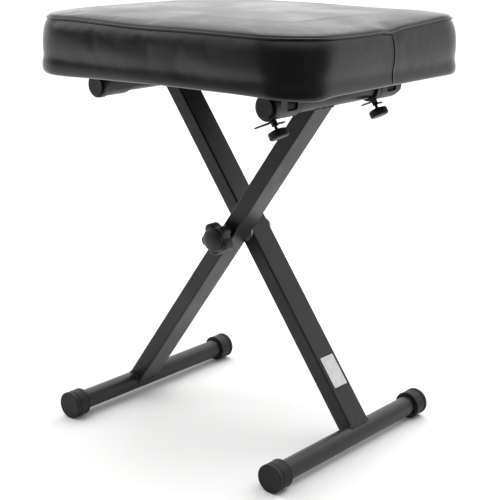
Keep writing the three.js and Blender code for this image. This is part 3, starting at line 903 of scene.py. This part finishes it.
def starKnob():
    s = pivotSpec
    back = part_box("star_knob")[1].y
    place = standing((pivot.x, back, pivot.z), -towardRear, (0, 0, 1))

    def lobeRadius(angle):
        wave = math.cos(s["lobes"] * (angle - math.radians(s["firstLobe"])))
        return s["lobeMean"] + s["lobeReach"] * wave + 0.7 * mm * (1 - wave * wave)

    # local X looks to -X of the bench here, so the front angle is mirrored
    def angleFromFront(angle):
        direction = place.to_3x3() @ Vector((math.cos(angle), math.sin(angle), 0))
        return math.atan2(direction.z, direction.x)

    bm = bmesh.new()
    rings = []
    sideCount = 180
    # the plain back of the knob, then the lobed grip, where each row is an inset from the lobes
    rows = [(0.0, 0.0), (6 * mm, 0.0), (11 * mm, 0.0), (11 * mm, s["backStep"]), (14 * mm, s["backStep"])]
    edge = 1.6 * mm
    lobeRows = [(-edge, s["backStep"]), (-0.3 * edge, s["backStep"] + 0.3 * edge), (0.0, s["backStep"] + edge),
                (0.0, 8 * mm), (0.0, 12 * mm), (0.0, s["gripEnd"] - 1.5 * edge),
                (-0.25 * edge, s["gripEnd"] - 0.75 * edge), (-0.8 * edge, s["gripEnd"] - 0.25 * edge),
                (-1.6 * edge, s["gripEnd"])]
    dome = softOutline([(s["dome"] + 0.2 * mm, s["gripEnd"] - 0.2 * mm),
                        (s["dome"], s["gripEnd"] + 1.2 * mm, 0.8 * mm),
                        (s["dome"] - 2.0 * mm, s["gripEnd"] + 4.2 * mm, 2.4 * mm),
                        (8.5 * mm, s["tip"] - 0.9 * mm, 4 * mm), (0, s["tip"])], 5)
    for radius, height in rows:
        rings.append(ringAt(bm, place, height, sideCount, lambda a, r=radius: r))
    for inset, height in lobeRows:
        rings.append(ringAt(bm, place, height, sideCount, lambda a, i=inset: lobeRadius(angleFromFront(a)) + i))
    for point in dome:
        limit = point.x
        rings.append(ringAt(bm, place, point.y, sideCount,
                            lambda a, r=limit: min(r, lobeRadius(angleFromFront(a)) - 0.5 * mm)))
    for first, second in zip(rings, rings[1:]):
        joinRings(bm, first, second)
    fit(newPiece("starKnob", bm, 60, False), "star_knob", "black_plastic", "star_knob")


def ringAt(bm, place, height, count, radiusAt):
    if radiusAt(0.0) < 1e-7:
        return [bm.verts.new(place @ Vector((0, 0, height)))]
    ring = []
    for i in range(count):
        angle = 2 * math.pi * i / count
        radius = radiusAt(angle)
        ring.append(bm.verts.new(place @ Vector((radius * math.cos(angle), radius * math.sin(angle), height))))
    return ring


ringPiece("knob_washer", "knobWasher", pivotSpec["boltRadius"] + 0.3 * mm, "zinc_steel", 0.3 * mm)
ringPiece("bolt_washer", "boltWasher", pivotSpec["boltRadius"] + 0.3 * mm, "zinc_steel", 0.3 * mm)
lockDisc("near_lock_disc", "nearLockDisc")
lockDisc("far_lock_disc", "farLockDisc")
pivotBolt()
starKnob()
print("pivot made")


# ---- clamp screws ----

clampSpec = {"stud": 2.2 * mm, "knobRadius": 12.2 * mm, "knobStart": 27.4 * mm, "knobEnd": 38.6 * mm, "flutes": 24,
             "nutRadius": 4.1 * mm, "nutTop": 17 * mm, "nutEnd": 23.6 * mm, "droop": 4.5, "longArm": 32.3 * mm,
             "shortArm": 17 * mm, "shortAt": 20.4 * mm, "thick": 1.8 * mm, "turn": {"front": 84, "rear": 95},
             "armRoot": 3.2 * mm, "longHalf": (5.8 * mm, 2.8 * mm), "shortHalf": (2.9 * mm, 2.5 * mm)}


def clampScrew(end):
    c = clampSpec
    joint = joints[f"{end}_clamp_turn"]
    place = standing(Vector(joint["pos_m"]), Vector(joint["axis"]))
    tubeRadius = extent("right_top_tube").z / 2
    stud = []
    height = tubeRadius + 0.4 * mm
    while height < 35 * mm:
        stud += [(c["stud"], height), (c["stud"] - 0.25 * mm, height + 0.4 * mm)]
        height += 0.8 * mm
    bm = bmesh.new()
    turnInto(bm, [(0, tubeRadius + 0.4 * mm)] + stud + [(0, 35.4 * mm)], place, 32)
    fit(newPiece(f"{end}ClampStud", bm), f"{end}_clamp_stud", "zinc_steel", f"{end}_clamp_stud")
    clampKnob(end, place)
    lockLever(end, place @ Matrix.Rotation(math.radians(180 - c["turn"][end]), 4, "Z"))


def clampKnob(end, place):
    c = clampSpec
    start = c["knobStart"]
    stop = c["knobEnd"]
    r = c["knobRadius"]
    outline = softOutline([
        (c["stud"] + 0.4 * mm, stop - 2.2 * mm), (c["stud"] + 0.4 * mm, start, 0.3 * mm), (4.4 * mm, start, 0.5 * mm),
        (r - 1.6 * mm, start + 1.4 * mm, 1 * mm), (r, start + 2.8 * mm, 1.2 * mm), (r, stop - 1.4 * mm, 0.4 * mm),
        (r - 1.5 * mm, stop, 0.6 * mm), (r - 3 * mm, stop, 0.5 * mm), (r - 4 * mm, stop - 0.5 * mm, 0.6 * mm),
        (0, stop - 0.5 * mm)], 4)

    def fluted(radius, height, angle):
        return radius - 0.7 * mm * (0.5 + 0.5 * math.cos(c["flutes"] * angle)) ** 3 if radius > r * 0.86 else radius

    bm = bmesh.new()
    rings = turnInto(bm, outline, place, 192, fluted)
    bm.faces.new(rings[0])
    fit(newPiece(f"{end}ClampKnob", bm, 45, False), f"{end}_clamp_knob", "black_plastic", f"{end}_clamp_knob")


def lockLever(end, place):
    # small nut with a long drooping arm and a short level one; the arms lie along local X
    c = clampSpec
    bm = bmesh.new()
    nut = softOutline([(c["stud"] + 0.3 * mm, c["nutTop"], 0.2 * mm), (c["nutRadius"], c["nutTop"], 0.4 * mm),
                       (c["nutRadius"], c["nutEnd"], 0.7 * mm), (c["stud"] + 0.3 * mm, c["nutEnd"], 0.2 * mm)], 3,
                      True)

    def hexNut(radius, height, angle):
        turn = (angle + math.pi / 6) % (math.pi / 3) - math.pi / 6
        return min(radius, c["nutRadius"] * 0.9 / math.cos(turn))

    turnInto(bm, nut, place, 60, hexNut, True)
    long = c["longArm"]
    short = c["shortArm"]
    root = c["armRoot"]
    hub, tip = c["longHalf"]
    longPlan = [(-root, -hub, 1 * mm), (-long, -tip, 2.6 * mm), (-long, tip, 2.6 * mm), (-root, hub, 1 * mm)]
    hub, tip = c["shortHalf"]
    shortPlan = [(root, -hub), (short, -tip, 2.2 * mm), (short, tip, 2.2 * mm), (root, hub)]
    droop = Matrix.Translation((0, 0, c["nutTop"])) @ Matrix.Rotation(math.radians(c["droop"]), 4, "Y")
    pushInto(bm, softOutline(longPlan, 5, True), place @ droop, 0.05 * mm, c["thick"], 0.4 * mm)
    pushInto(bm, softOutline(shortPlan, 5, True), place, c["shortAt"], c["shortAt"] + c["thick"], 0.4 * mm)
    fit(newPiece(f"{end}LockLever", bm, 40), f"{end}_lock_lever", "frame_paint", f"{end}_lock_lever")


for end in ends:
    clampScrew(end)
print("clamp screws made")


# ---- label ----

labelSpec = {"across": 27 * mm, "along": 44 * mm, "corner": 1.6 * mm, "thickness": 0.25 * mm}


def blankLabel():
    place = legPlace("far_leg", "right_foot_tube")[0]
    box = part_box("blank_label")
    centre = place.inverted() @ ((box[0] + box[1]) / 2)
    x = labelSpec["along"] / 2
    y = labelSpec["across"] / 2
    c = labelSpec["corner"]
    outline = softOutline([(-x, -y, c), (x, -y, c), (x, y, c), (-x, y, c)], 5, True)
    face = Matrix.Translation(centre) @ Matrix(((0, 0, 1, 0), (0, 1, 0, 0), (1, 0, 0, 0), (0, 0, 0, 1)))
    bm = bmesh.new()
    pushInto(bm, outline, place @ face, -labelSpec["thickness"] / 2, labelSpec["thickness"] / 2, 0.08 * mm)
    fit(newPiece("blankLabel", bm), farBody, "label_paper", "blank_label")


blankLabel()


# ---- seat cover ----

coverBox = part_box("seat_cover")
coverSpec = {
    "corner": 70 * mm, "sideStep": 5.2 * mm, "cornerColumns": 14, "rowStep": 4.2 * mm, "skin": 1.1 * mm,
    # (drawn in from the plan's edge, height above the underside) in millimetres
    "band": [(24, 0.2), (12, -0.2), (3.2, 0), (0.7, 0.9), (0, 3.0), (-0.1, 10.2), (0.5, 13.2), (1.5, 15.8),
             (1.0, 20), (-0.9, 31), (-1.3, 42), (-0.7, 53), (1.2, 61), (3.2, 65.2), (4.2, 66.5)],
    "panel": [(4.2, 66.5), (3.4, 67.9), (3.4, 69.4), (4.8, 70.9), (8.5, 71.9), (15, 72.7), (24, 73.6),
              (36, 74.7), (50, 75.8), (60, 76.5), (66, 76.9)],
    "crown": 3.2 * mm,
    "boardTop": 13.6 * mm,
    "lowCorner": 56 * mm,
}
underside = coverBox[0].z
planHalf = Vector(((coverBox[1].x - coverBox[0].x) / 2 - 1 * mm, (coverBox[1].y - coverBox[0].y) / 2 - 1 * mm))

# soft humps and dips: (x, y, reach, amount) in millimetres
seamShifts = [(228, -4, 15, -2.6), (228, -60, 75, -2.4), (228, 120, 60, 4.2), (-142, -182, 50, 1.2),
              (-19, -182, 50, -1.2), (-228, 60, 70, -1.2), (0, 182, 90, 1.2)]
undersideShifts = [(-170, -182, 75, -4.8), (-60, -182, 55, -1.4), (130, -182, 42, 0.5), (208, -168, 34, -1.4),
                   (225, -146, 17, -2.4), (-228, -60, 60, -1.8), (150, 182, 70, -2.0), (-100, 182, 60, -1.6)]


def humps(table, x, y):
    total = 0.0
    for hx, hy, reach, amount in table:
        total += amount * mm * math.exp(-((x - hx * mm) ** 2 + (y - hy * mm) ** 2) / (reach * mm) ** 2)
    return total


def planColumns():
    # the plan's round corners as fans about four centres, joined by straight sides
    corner = coverSpec["corner"]
    inner = planHalf - Vector((corner, corner))
    signs = [(1, 1), (-1, 1), (-1, -1), (1, -1)]
    columns = []
    for k, (sx, sy) in enumerate(signs):
        centre = Vector((sx * inner.x, sy * inner.y))
        for i in range(coverSpec["cornerColumns"]):
            angle = (k + i / coverSpec["cornerColumns"]) * math.pi / 2
            columns.append((centre, Vector((math.cos(angle), math.sin(angle))), None))
        nextSign = signs[(k + 1) % 4]
        target = Vector((nextSign[0] * inner.x, nextSign[1] * inner.y))
        angle = (k + 1) * math.pi / 2
        count = round((target - centre).length / coverSpec["sideStep"])
        for i in range(count):
            spot = centre.lerp(target, i / count)
            columns.append((spot, Vector((math.cos(angle), math.sin(angle))), (k, i)))
    return columns, inner


def coverPoint(centre, way, inset, height):
    # one point of the cover with the slack and pull of real upholstery
    lift = height / (66.5 * mm)
    corner = coverSpec["corner"]
    tight = (corner - coverSpec["lowCorner"]) * max(0.0, min(1.0, (1.05 - lift) / 0.85))
    spread = Vector((1 + tight / (planHalf.x - corner), 1 + tight / (planHalf.y - corner)))
    edge = centre * spread + way * (corner - tight - inset)
    x, y = edge
    seam = humps(seamShifts, x, y)
    below = humps(undersideShifts, x, y)
    z = underside + height + seam * max(0.0, min(1.0, (lift - 0.25) / 0.75)) * (1 if lift <= 1 else max(0, 2 - lift))
    if lift < 0.12:
        z += below * (1 - lift / 0.12)
    if 0.2 < lift < 0.97:
        swell = math.sin(math.pi * (lift - 0.2) / 0.77)
        sway = noise.noise(Vector((x * 11, y * 11, height * 17)))
        edge = edge + way * swell * sway * 1.5 * mm
    if height < 3 * mm and inset > 2 * mm and abs(way.x * way.y) > 0.01:
        pleat = math.sin(math.atan2(way.y, way.x) * 34)
        z -= 0.7 * mm * max(0.0, pleat) * min(1.0, (inset - 2 * mm) / (10 * mm))
    return Vector((edge.x, edge.y, z))


def crownLift(x, y):
    u = min(1.0, abs(x) / planHalf.x)
    v = min(1.0, abs(y) / planHalf.y)
    drift = noise.noise(Vector((x * 9, y * 9, 3.1)))
    edge = (1 - u ** 2.4) * (1 - v ** 2.4)
    return (coverSpec["crown"] + 0.6 * mm * drift) * edge


def buildCover(drawnIn=0.0):
    # rows of the band, rows of the panel, then a plain grid over the middle
    columns, inner = planColumns()
    bandRows = smoothLine([(a * mm, b * mm) for a, b in coverSpec["band"]], coverSpec["rowStep"])
    panelRows = smoothLine([(a * mm, b * mm) for a, b in coverSpec["panel"]], coverSpec["rowStep"])[1:]
    rows = bandRows + panelRows
    bm = bmesh.new()
    rings = []
    for inset, height in rows:
        ring = []
        for centre, way, spot in columns:
            point = coverPoint(centre, way, inset + drawnIn, height)
            if height > 67 * mm:
                point.z += crownLift(point.x, point.y) - drawnIn
            ring.append(bm.verts.new(point))
        rings.append(ring)
    for first, second in zip(rings, rings[1:]):
        joinRings(bm, first, second)
    countX = round(2 * inner.x / coverSpec["sideStep"])
    countY = round(2 * inner.y / coverSpec["sideStep"])
    topZ = underside + coverSpec["panel"][-1][1] * mm - drawnIn
    grid = []
    for j in range(countY + 1):
        line = []
        for i in range(countX + 1):
            x = inner.x * (2 * i / countX - 1)
            y = inner.y * (2 * j / countY - 1)
            line.append(bm.verts.new((x, y, topZ + crownLift(x, y))))
        grid.append(line)
    for j in range(countY):
        for i in range(countX):
            bm.faces.new((grid[j][i], grid[j][i + 1], grid[j + 1][i + 1], grid[j + 1][i]))

    def gridVertex(column):
        centre, _, spot = column
        if spot is None:
            return grid[countY if centre.y > 0 else 0][countX if centre.x > 0 else 0]
        k, i = spot
        return {0: lambda: grid[countY][countX - i], 1: lambda: grid[countY - i][0],
                2: lambda: grid[0][i], 3: lambda: grid[i][countX]}[k]()

    last = rings[-1]
    count = len(columns)
    for i in range(count):
        j = (i + 1) % count
        a = gridVertex(columns[i])
        b = gridVertex(columns[j])
        bm.faces.new((last[i], last[j], b, a) if a is not b else (last[i], last[j], a))
    bm.verts.index_update()
    seamRow = [vertex.index for vertex in rings[len(bandRows) - 1]]
    return bm, seamRow


def simulateCover(piece, seamRow):
    # inflates the skin a little between its stitched seam and the board it is stapled to
    sim = {"pressure": 1.0, "shrink": -0.003, "cap": 1.1 * mm, "frames": 20, "share": 0.3}
    mesh = piece.data
    held = piece.vertex_groups.new(name="held")
    start = [vertex.co.copy() for vertex in mesh.vertices]
    stitched = set(seamRow)
    for vertex in mesh.vertices:
        height = vertex.co.z - underside
        weight = 1.0 if vertex.index in stitched or height < coverSpec["boardTop"] else 0.0
        if weight:
            held.add([vertex.index], weight, "REPLACE")
    cloth = piece.modifiers.new("coverCloth", "CLOTH")
    settings = cloth.settings
    settings.quality = 5
    settings.mass = 0.3
    settings.tension_stiffness = 25
    settings.compression_stiffness = 12
    settings.shear_stiffness = 8
    settings.bending_stiffness = 0.8
    settings.use_pressure = True
    settings.uniform_pressure_force = sim["pressure"]
    settings.shrink_min = sim["shrink"]
    settings.vertex_group_mass = "held"
    settings.effector_weights.gravity = 0
    cloth.point_cache.frame_start = 1
    cloth.point_cache.frame_end = sim["frames"]
    for step in range(1, sim["frames"] + 1):
        bpy.context.scene.frame_set(step)
    depsgraph = bpy.context.evaluated_depsgraph_get()
    moved = [vertex.co.copy() for vertex in piece.evaluated_get(depsgraph).data.vertices]
    piece.modifiers.clear()
    bpy.context.scene.frame_set(1)
    furthest = 0.0
    for vertex, was, now in zip(mesh.vertices, start, moved):
        shift = (now - was) * sim["share"]
        furthest = max(furthest, shift.length)
        if shift.length > sim["cap"]:
            shift *= sim["cap"] / shift.length
        vertex.co = was + shift
    print(f"cover simulated, largest move {furthest * 1000:.1f} mm")


def pinchJoin(piece):
    # the band's own join: a lapped edge down the middle of the right side
    join = {"y": -4 * mm, "low": 2 * mm, "high": 62 * mm}
    bm = bmesh.new()
    bm.from_mesh(piece.data)
    limit = planHalf.x - 12 * mm
    for offset in (-3.2, -1.8, -0.9, -0.35, 0.0, 0.5, 1.2, 2.4, 4.2):
        faces = [f for f in bm.faces if f.calc_center_median().x > limit
                 and abs(f.calc_center_median().y - join["y"]) < 9 * mm
                 and f.calc_center_median().z < underside + 64 * mm]
        geometry = list({e for f in faces for e in f.edges}) + list({v for f in faces for v in f.verts}) + faces
        bmesh.ops.bisect_plane(bm, geom=geometry, dist=1e-6, plane_co=(0, join["y"] + offset * mm, 0),
                               plane_no=(0, 1, 0))
    for vertex in bm.verts:
        d = (vertex.co.y - join["y"]) / mm
        height = vertex.co.z - underside
        if vertex.co.x < limit or abs(d) > 12 or not join["low"] < height < join["high"]:
            continue
        fade = min(1.0, (height - join["low"]) / (5 * mm), (join["high"] - height) / (4 * mm))
        valley = -1.5 * math.exp(-(d / 0.5) ** 2)
        lap = 0.55 * math.exp(-((d - 1.3) / 1.3) ** 2) + 0.25 * math.exp(-((d + 1.6) / 1.4) ** 2)
        vertex.co.x += fade * (valley + lap) * mm
    bm.to_mesh(piece.data)
    bm.free()


def seatPiping(seamPath):
    # welt cord in a strip of vinyl, with its ends lapped on the right side
    welt = {"radius": 1.35 * mm, "proud": 1.3 * mm, "lapFrom": -22 * mm, "lapTo": 5.5 * mm, "lap": 0.2}
    path = evenSteps([p for p in seamPath] + [seamPath[0]], 3.2 * mm)[:-1]
    count = len(path)
    rings = []
    bm = bmesh.new()
    for i in range(count):
        ahead = (path[(i + 1) % count] - path[i - 1]).normalized()
        outward = ahead.cross(Vector((0, 0, 1))).normalized()
        up = outward.cross(ahead).normalized()
        centre = path[i] + outward * welt["proud"] + up * 0.5 * mm
        ripple = 1 + 0.035 * noise.noise(centre * 90)
        onLap = centre.x > planHalf.x - 8 * mm and welt["lapFrom"] < centre.y < welt["lapTo"]
        r = welt["radius"] * ripple * (1 + welt["lap"] if onLap else 1)
        ring = []
        for k in range(14):
            angle = 2 * math.pi * k / 14
            ring.append(bm.verts.new(centre + r * (math.cos(angle) * outward + math.sin(angle) * up)))
        rings.append(ring)
    for i in range(count):
        joinRings(bm, rings[i], rings[(i + 1) % count])
    return fit(newPiece("seatPiping", bm, 50, False), seatBody, "seat_vinyl", "seat_piping")


def seatCover():
    bm, seamRow = buildCover()
    piece = newPiece("seatCover", bm, 180, False)
    simulateCover(piece, seamRow)
    mesh = piece.data
    seamPath = [mesh.vertices[i].co.copy() for i in seamRow]
    soften = piece.modifiers.new("finer", "SUBSURF")
    soften.levels = 1
    soften.render_levels = 1
    applyModifiers(piece)
    pinchJoin(piece)
    piece.data.shade_smooth()
    skin = piece.modifiers.new("skin", "SOLIDIFY")
    skin.thickness = coverSpec["skin"]
    skin.offset = -1
    fit(piece, seatBody, "seat_vinyl", "seat_cover")
    seatPiping(seamPath)
    return piece


def seatFoam():
    bm = buildCover(2.6 * mm)[0]
    cutHeight = underside + coverSpec["boardTop"] + 0.6 * mm
    geometry = bm.verts[:] + bm.edges[:] + bm.faces[:]
    result = bmesh.ops.bisect_plane(bm, geom=geometry, dist=1e-6, plane_co=(0, 0, cutHeight), plane_no=(0, 0, 1),
                                    clear_inner=True)
    rim = [e for e in result["geom_cut"] if isinstance(e, bmesh.types.BMEdge)]
    bmesh.ops.contextual_create(bm, geom=rim)
    foam = newPiece("seatFoam", bm, 60, False)
    fit(foam, seatBody, "foam", "foam_pad")


seatCover()
seatFoam()
print("seat cover and foam made")


# ---- underside ----

def dustCover():
    low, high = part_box("dust_cover")
    half = Vector(((high.x - low.x) / 2, (high.y - low.y) / 2))
    corner = 58 * mm
    outline = softOutline([(-half.x, -half.y, corner), (half.x, -half.y, corner), (half.x, half.y, corner),
                           (-half.x, half.y, corner)], 10, True)
    bm = bmesh.new()
    bm.faces.new([bm.verts.new((p.x, p.y, high.z - 0.1 * mm)) for p in outline])
    for axis, reach in ((0, half.x), (1, half.y)):
        count = round(2 * reach / (9 * mm))
        for i in range(1, count):
            spot = [0, 0, 0]
            normal = [0, 0, 0]
            spot[axis] = -reach + 2 * reach * i / count
            normal[axis] = 1
            geometry = bm.verts[:] + bm.edges[:] + bm.faces[:]
            bmesh.ops.bisect_plane(bm, geom=geometry, dist=1e-6, plane_co=spot, plane_no=normal)
    for vertex in bm.verts:
        x, y = vertex.co.x, vertex.co.y
        inside = min(half.x - abs(x), half.y - abs(y))
        fade = max(0.0, min(1.0, inside / (18 * mm)))
        vertex.co.z += fade * 0.22 * mm * noise.noise(Vector((x * 22, y * 22, 0.4)))
    piece = newPiece("dustCover", bm, 60, False)
    sheet = piece.modifiers.new("clothThickness", "SOLIDIFY")
    sheet.thickness = 0.45 * mm
    sheet.offset = 0
    fit(piece, seatBody, "dust_cloth", "dust_cover")


def staples():
    # wire staples through the turned-in vinyl, about 30 mm apart
    spec = {"crown": 10 * mm, "wire": 0.55 * mm, "inset": 17.5 * mm, "apart": 30 * mm}
    corner = coverSpec["corner"]
    half = planHalf
    r = corner - spec["inset"]
    outline = []
    for k, (sx, sy) in enumerate([(1, 1), (-1, 1), (-1, -1), (1, -1)]):
        centre = (sx * (half.x - corner), sy * (half.y - corner))
        outline += [Vector(p).to_3d() for p in arcLine(centre, r, 90 * k, 90 * k + 90, 16)]
    places = evenSteps(outline + outline[:1], spec["apart"])[:-1]
    bm = bmesh.new()
    count = len(places)
    for i, spot in enumerate(places):
        ahead = (places[(i + 1) % count] - places[i - 1]).normalized()
        skew = 0.25 * noise.noise(spot * 70)
        ahead = (Matrix.Rotation(skew, 3, "Z") @ ahead)
        base = Vector((spot.x, spot.y, underside - 0.5 * mm + humps(undersideShifts, spot.x, spot.y) * 0.3))
        wire = softOutline([(-spec["crown"] / 2, 2.4 * mm), (-spec["crown"] / 2, 0, 0.7 * mm),
                            (spec["crown"] / 2, 0, 0.7 * mm), (spec["crown"] / 2, 2.4 * mm)], 3)
        rings = []
        for j, point in enumerate(wire):
            nextPoint = wire[min(j + 1, len(wire) - 1)]
            lastPoint = wire[max(j - 1, 0)]
            along = (nextPoint - lastPoint).normalized()
            side = Vector((-along.y, along.x))
            ring = []
            for k in range(6):
                angle = 2 * math.pi * k / 6
                flat = point + side * spec["wire"] * math.cos(angle)
                across = ahead.cross(Vector((0, 0, 1)))
                ring.append(bm.verts.new(base + ahead * flat.x + Vector((0, 0, flat.y))
                                         + across * spec["wire"] * math.sin(angle)))
            rings.append(ring)
        for first, second in zip(rings, rings[1:]):
            joinRings(bm, first, second)
        bm.faces.new(list(reversed(rings[0])))
        bm.faces.new(rings[-1])
    fit(newPiece("flapStaples", bm, 50, False), seatBody, "zinc_steel")


dustCover()
staples()
print("underside made")


# ---- CAD pieces that keep their own shape ----

keptNodes = {"seat_board": "plywood", "near_leg_bushing": "zinc_steel", "far_leg_bushing": "zinc_steel",
             "star_knob_insert": "zinc_steel"}
for side in sides:
    for end in ends:
        keptNodes[f"{side}_{end}_packer"] = "black_plastic"
for node, slotName in keptNodes.items():
    nodes[node].data.materials.clear()
    nodes[node].data.materials.append(finishes[slotName])
    edge = nodes[node].modifiers.new("brokenEdge", "BEVEL")
    edge.width = 0.3 * mm
    edge.segments = 2
    edge.limit_method = "ANGLE"
    edge.angle_limit = math.radians(50)


# ---- floor, light and camera ----

def buildStage():
    bm = bmesh.new()
    rings = []
    for radius in (0.5, 1.5, 4, 10, 30):
        rings.append(ringAt(bm, Matrix.Identity(4), -0.0002, 64, lambda a, r=radius: r))
    for first, second in zip(rings, rings[1:]):
        joinRings(bm, first, second)
    bm.faces.new(rings[0])
    floor = newPiece("floor", bm, 60, False)
    material, tree, shader = newFinish("floorWithPaintedShade", Roughness=0.75, Specular_IOR_Level=0.25)
    drift = useGroup(tree, toneDrift, Color=(0.95, 0.95, 0.945, 1), Second_Color=(0.93, 0.93, 0.925, 1), Scale=1.5,
                     Amount=0.5)
    # painted shade: the pale floor darkens toward the camera side, standing in for dimmer light there, so faces
    # turned to the camera reflect dark
    place = addNode(tree, "ShaderNodeNewGeometry").outputs["Position"]
    ahead = addNode(tree, "ShaderNodeVectorMath", {"operation": "DOT_PRODUCT"}, n0=place, n1=(0.641, -0.768, 0))
    cameraSideShade = addRange(tree, ahead.outputs[1], 0.34, 0.8)
    tree.links.new(addMix(tree, cameraSideShade, drift.outputs["Color"], gray(0.05)), shader.inputs["Base Color"])
    floor.data.materials.append(material)


view = {"place": (1.0558, -1.2642, 0.7022), "yaw": 39.72, "pitch": 15.56, "roll": 0.23, "lens": 90.44}


def viewAxes():
    yaw, pitch, roll = (math.radians(view[k]) for k in ("yaw", "pitch", "roll"))
    forward = Vector((-math.sin(yaw) * math.cos(pitch), math.cos(yaw) * math.cos(pitch), -math.sin(pitch)))
    right = Vector((math.cos(yaw), math.sin(yaw), 0))
    up = right.cross(forward)
    return (right * math.cos(roll) + up * math.sin(roll), up * math.cos(roll) - right * math.sin(roll), forward)


def buildCamera():
    right, up, forward = viewAxes()
    data = bpy.data.cameras.new("studioCamera")
    data.lens = view["lens"]
    data.sensor_width = 36
    data.clip_end = 200
    camera = bpy.data.objects.new("studioCamera", data)
    turn = Matrix((right, up, -forward)).transposed().to_4x4()
    camera.matrix_world = Matrix.Translation(Vector(view["place"])) @ turn
    bpy.context.scene.collection.objects.link(camera)
    bpy.context.scene.camera = camera


lights = [
    # name, place, aimed at, width, height, power
    ("overhead", (0.1, 0.5, 2.6), (0, 0, 0.3), 2.4, 2.4, 20),
    ("leftFront", (-1.9, -1.3, 1.5), (-0.1, -0.1, 0.45), 0.8, 1.0, 7),
    ("rightSide", (2.2, 1.6, 0.5), (0.1, 0, 0.3), 1.0, 0.8, 1.2),
    ("backSheet", (-1.5, 2.4, 1.15), (0, 0, 0.56), 3.4, 1.3, 9),
]


def buildLights():
    for name, place, target, width, height, power in lights:
        data = bpy.data.lights.new(name, "AREA")
        data.shape = "RECTANGLE"
        data.size = width
        data.size_y = height
        data.energy = power
        lamp = bpy.data.objects.new(name, data)
        away = Vector(place) - Vector(target)
        lamp.matrix_world = Matrix.Translation(Vector(place)) @ away.to_track_quat("Z", "Y").to_matrix().to_4x4()
        lamp.visible_camera = False
        bpy.context.scene.collection.objects.link(lamp)
    world = bpy.data.worlds.new("studioWorld")
    bpy.context.scene.world = world
    world.use_nodes = True
    tree = world.node_tree
    tree.nodes.clear()
    direction = addNode(tree, "ShaderNodeTexCoord").outputs["Generated"]
    behind = (-math.sin(math.radians(28)), math.cos(math.radians(28)), 0.0)
    facing = addNode(tree, "ShaderNodeVectorMath", {"operation": "DOT_PRODUCT"}, n0=direction, n1=behind).outputs[1]
    around = addRange(tree, facing, -0.35, 0.6, 0.06, 1.1)
    above = addRange(tree, addNode(tree, "ShaderNodeSeparateXYZ", Vector=direction).outputs["Z"], 0.4, 0.95, 0.0, 1.3)
    strength = addMath(tree, "ADD", around, above)
    soft = addNode(tree, "ShaderNodeBackground", Color=(1, 1, 0.995, 1), Strength=strength)
    plain = addNode(tree, "ShaderNodeBackground", Color=(0.93, 0.93, 0.925, 1), Strength=1.0)
    seen = addNode(tree, "ShaderNodeLightPath").outputs["Is Camera Ray"]
    mixed = addNode(tree, "ShaderNodeMixShader", n0=seen, n1=soft.outputs[0], n2=plain.outputs[0])
    out = tree.nodes.new("ShaderNodeOutputWorld")
    tree.links.new(mixed.outputs[0], out.inputs["Surface"])
    bpy.context.scene.view_settings.view_transform = "Standard"


buildStage()
buildCamera()
buildLights()
print("stage made")
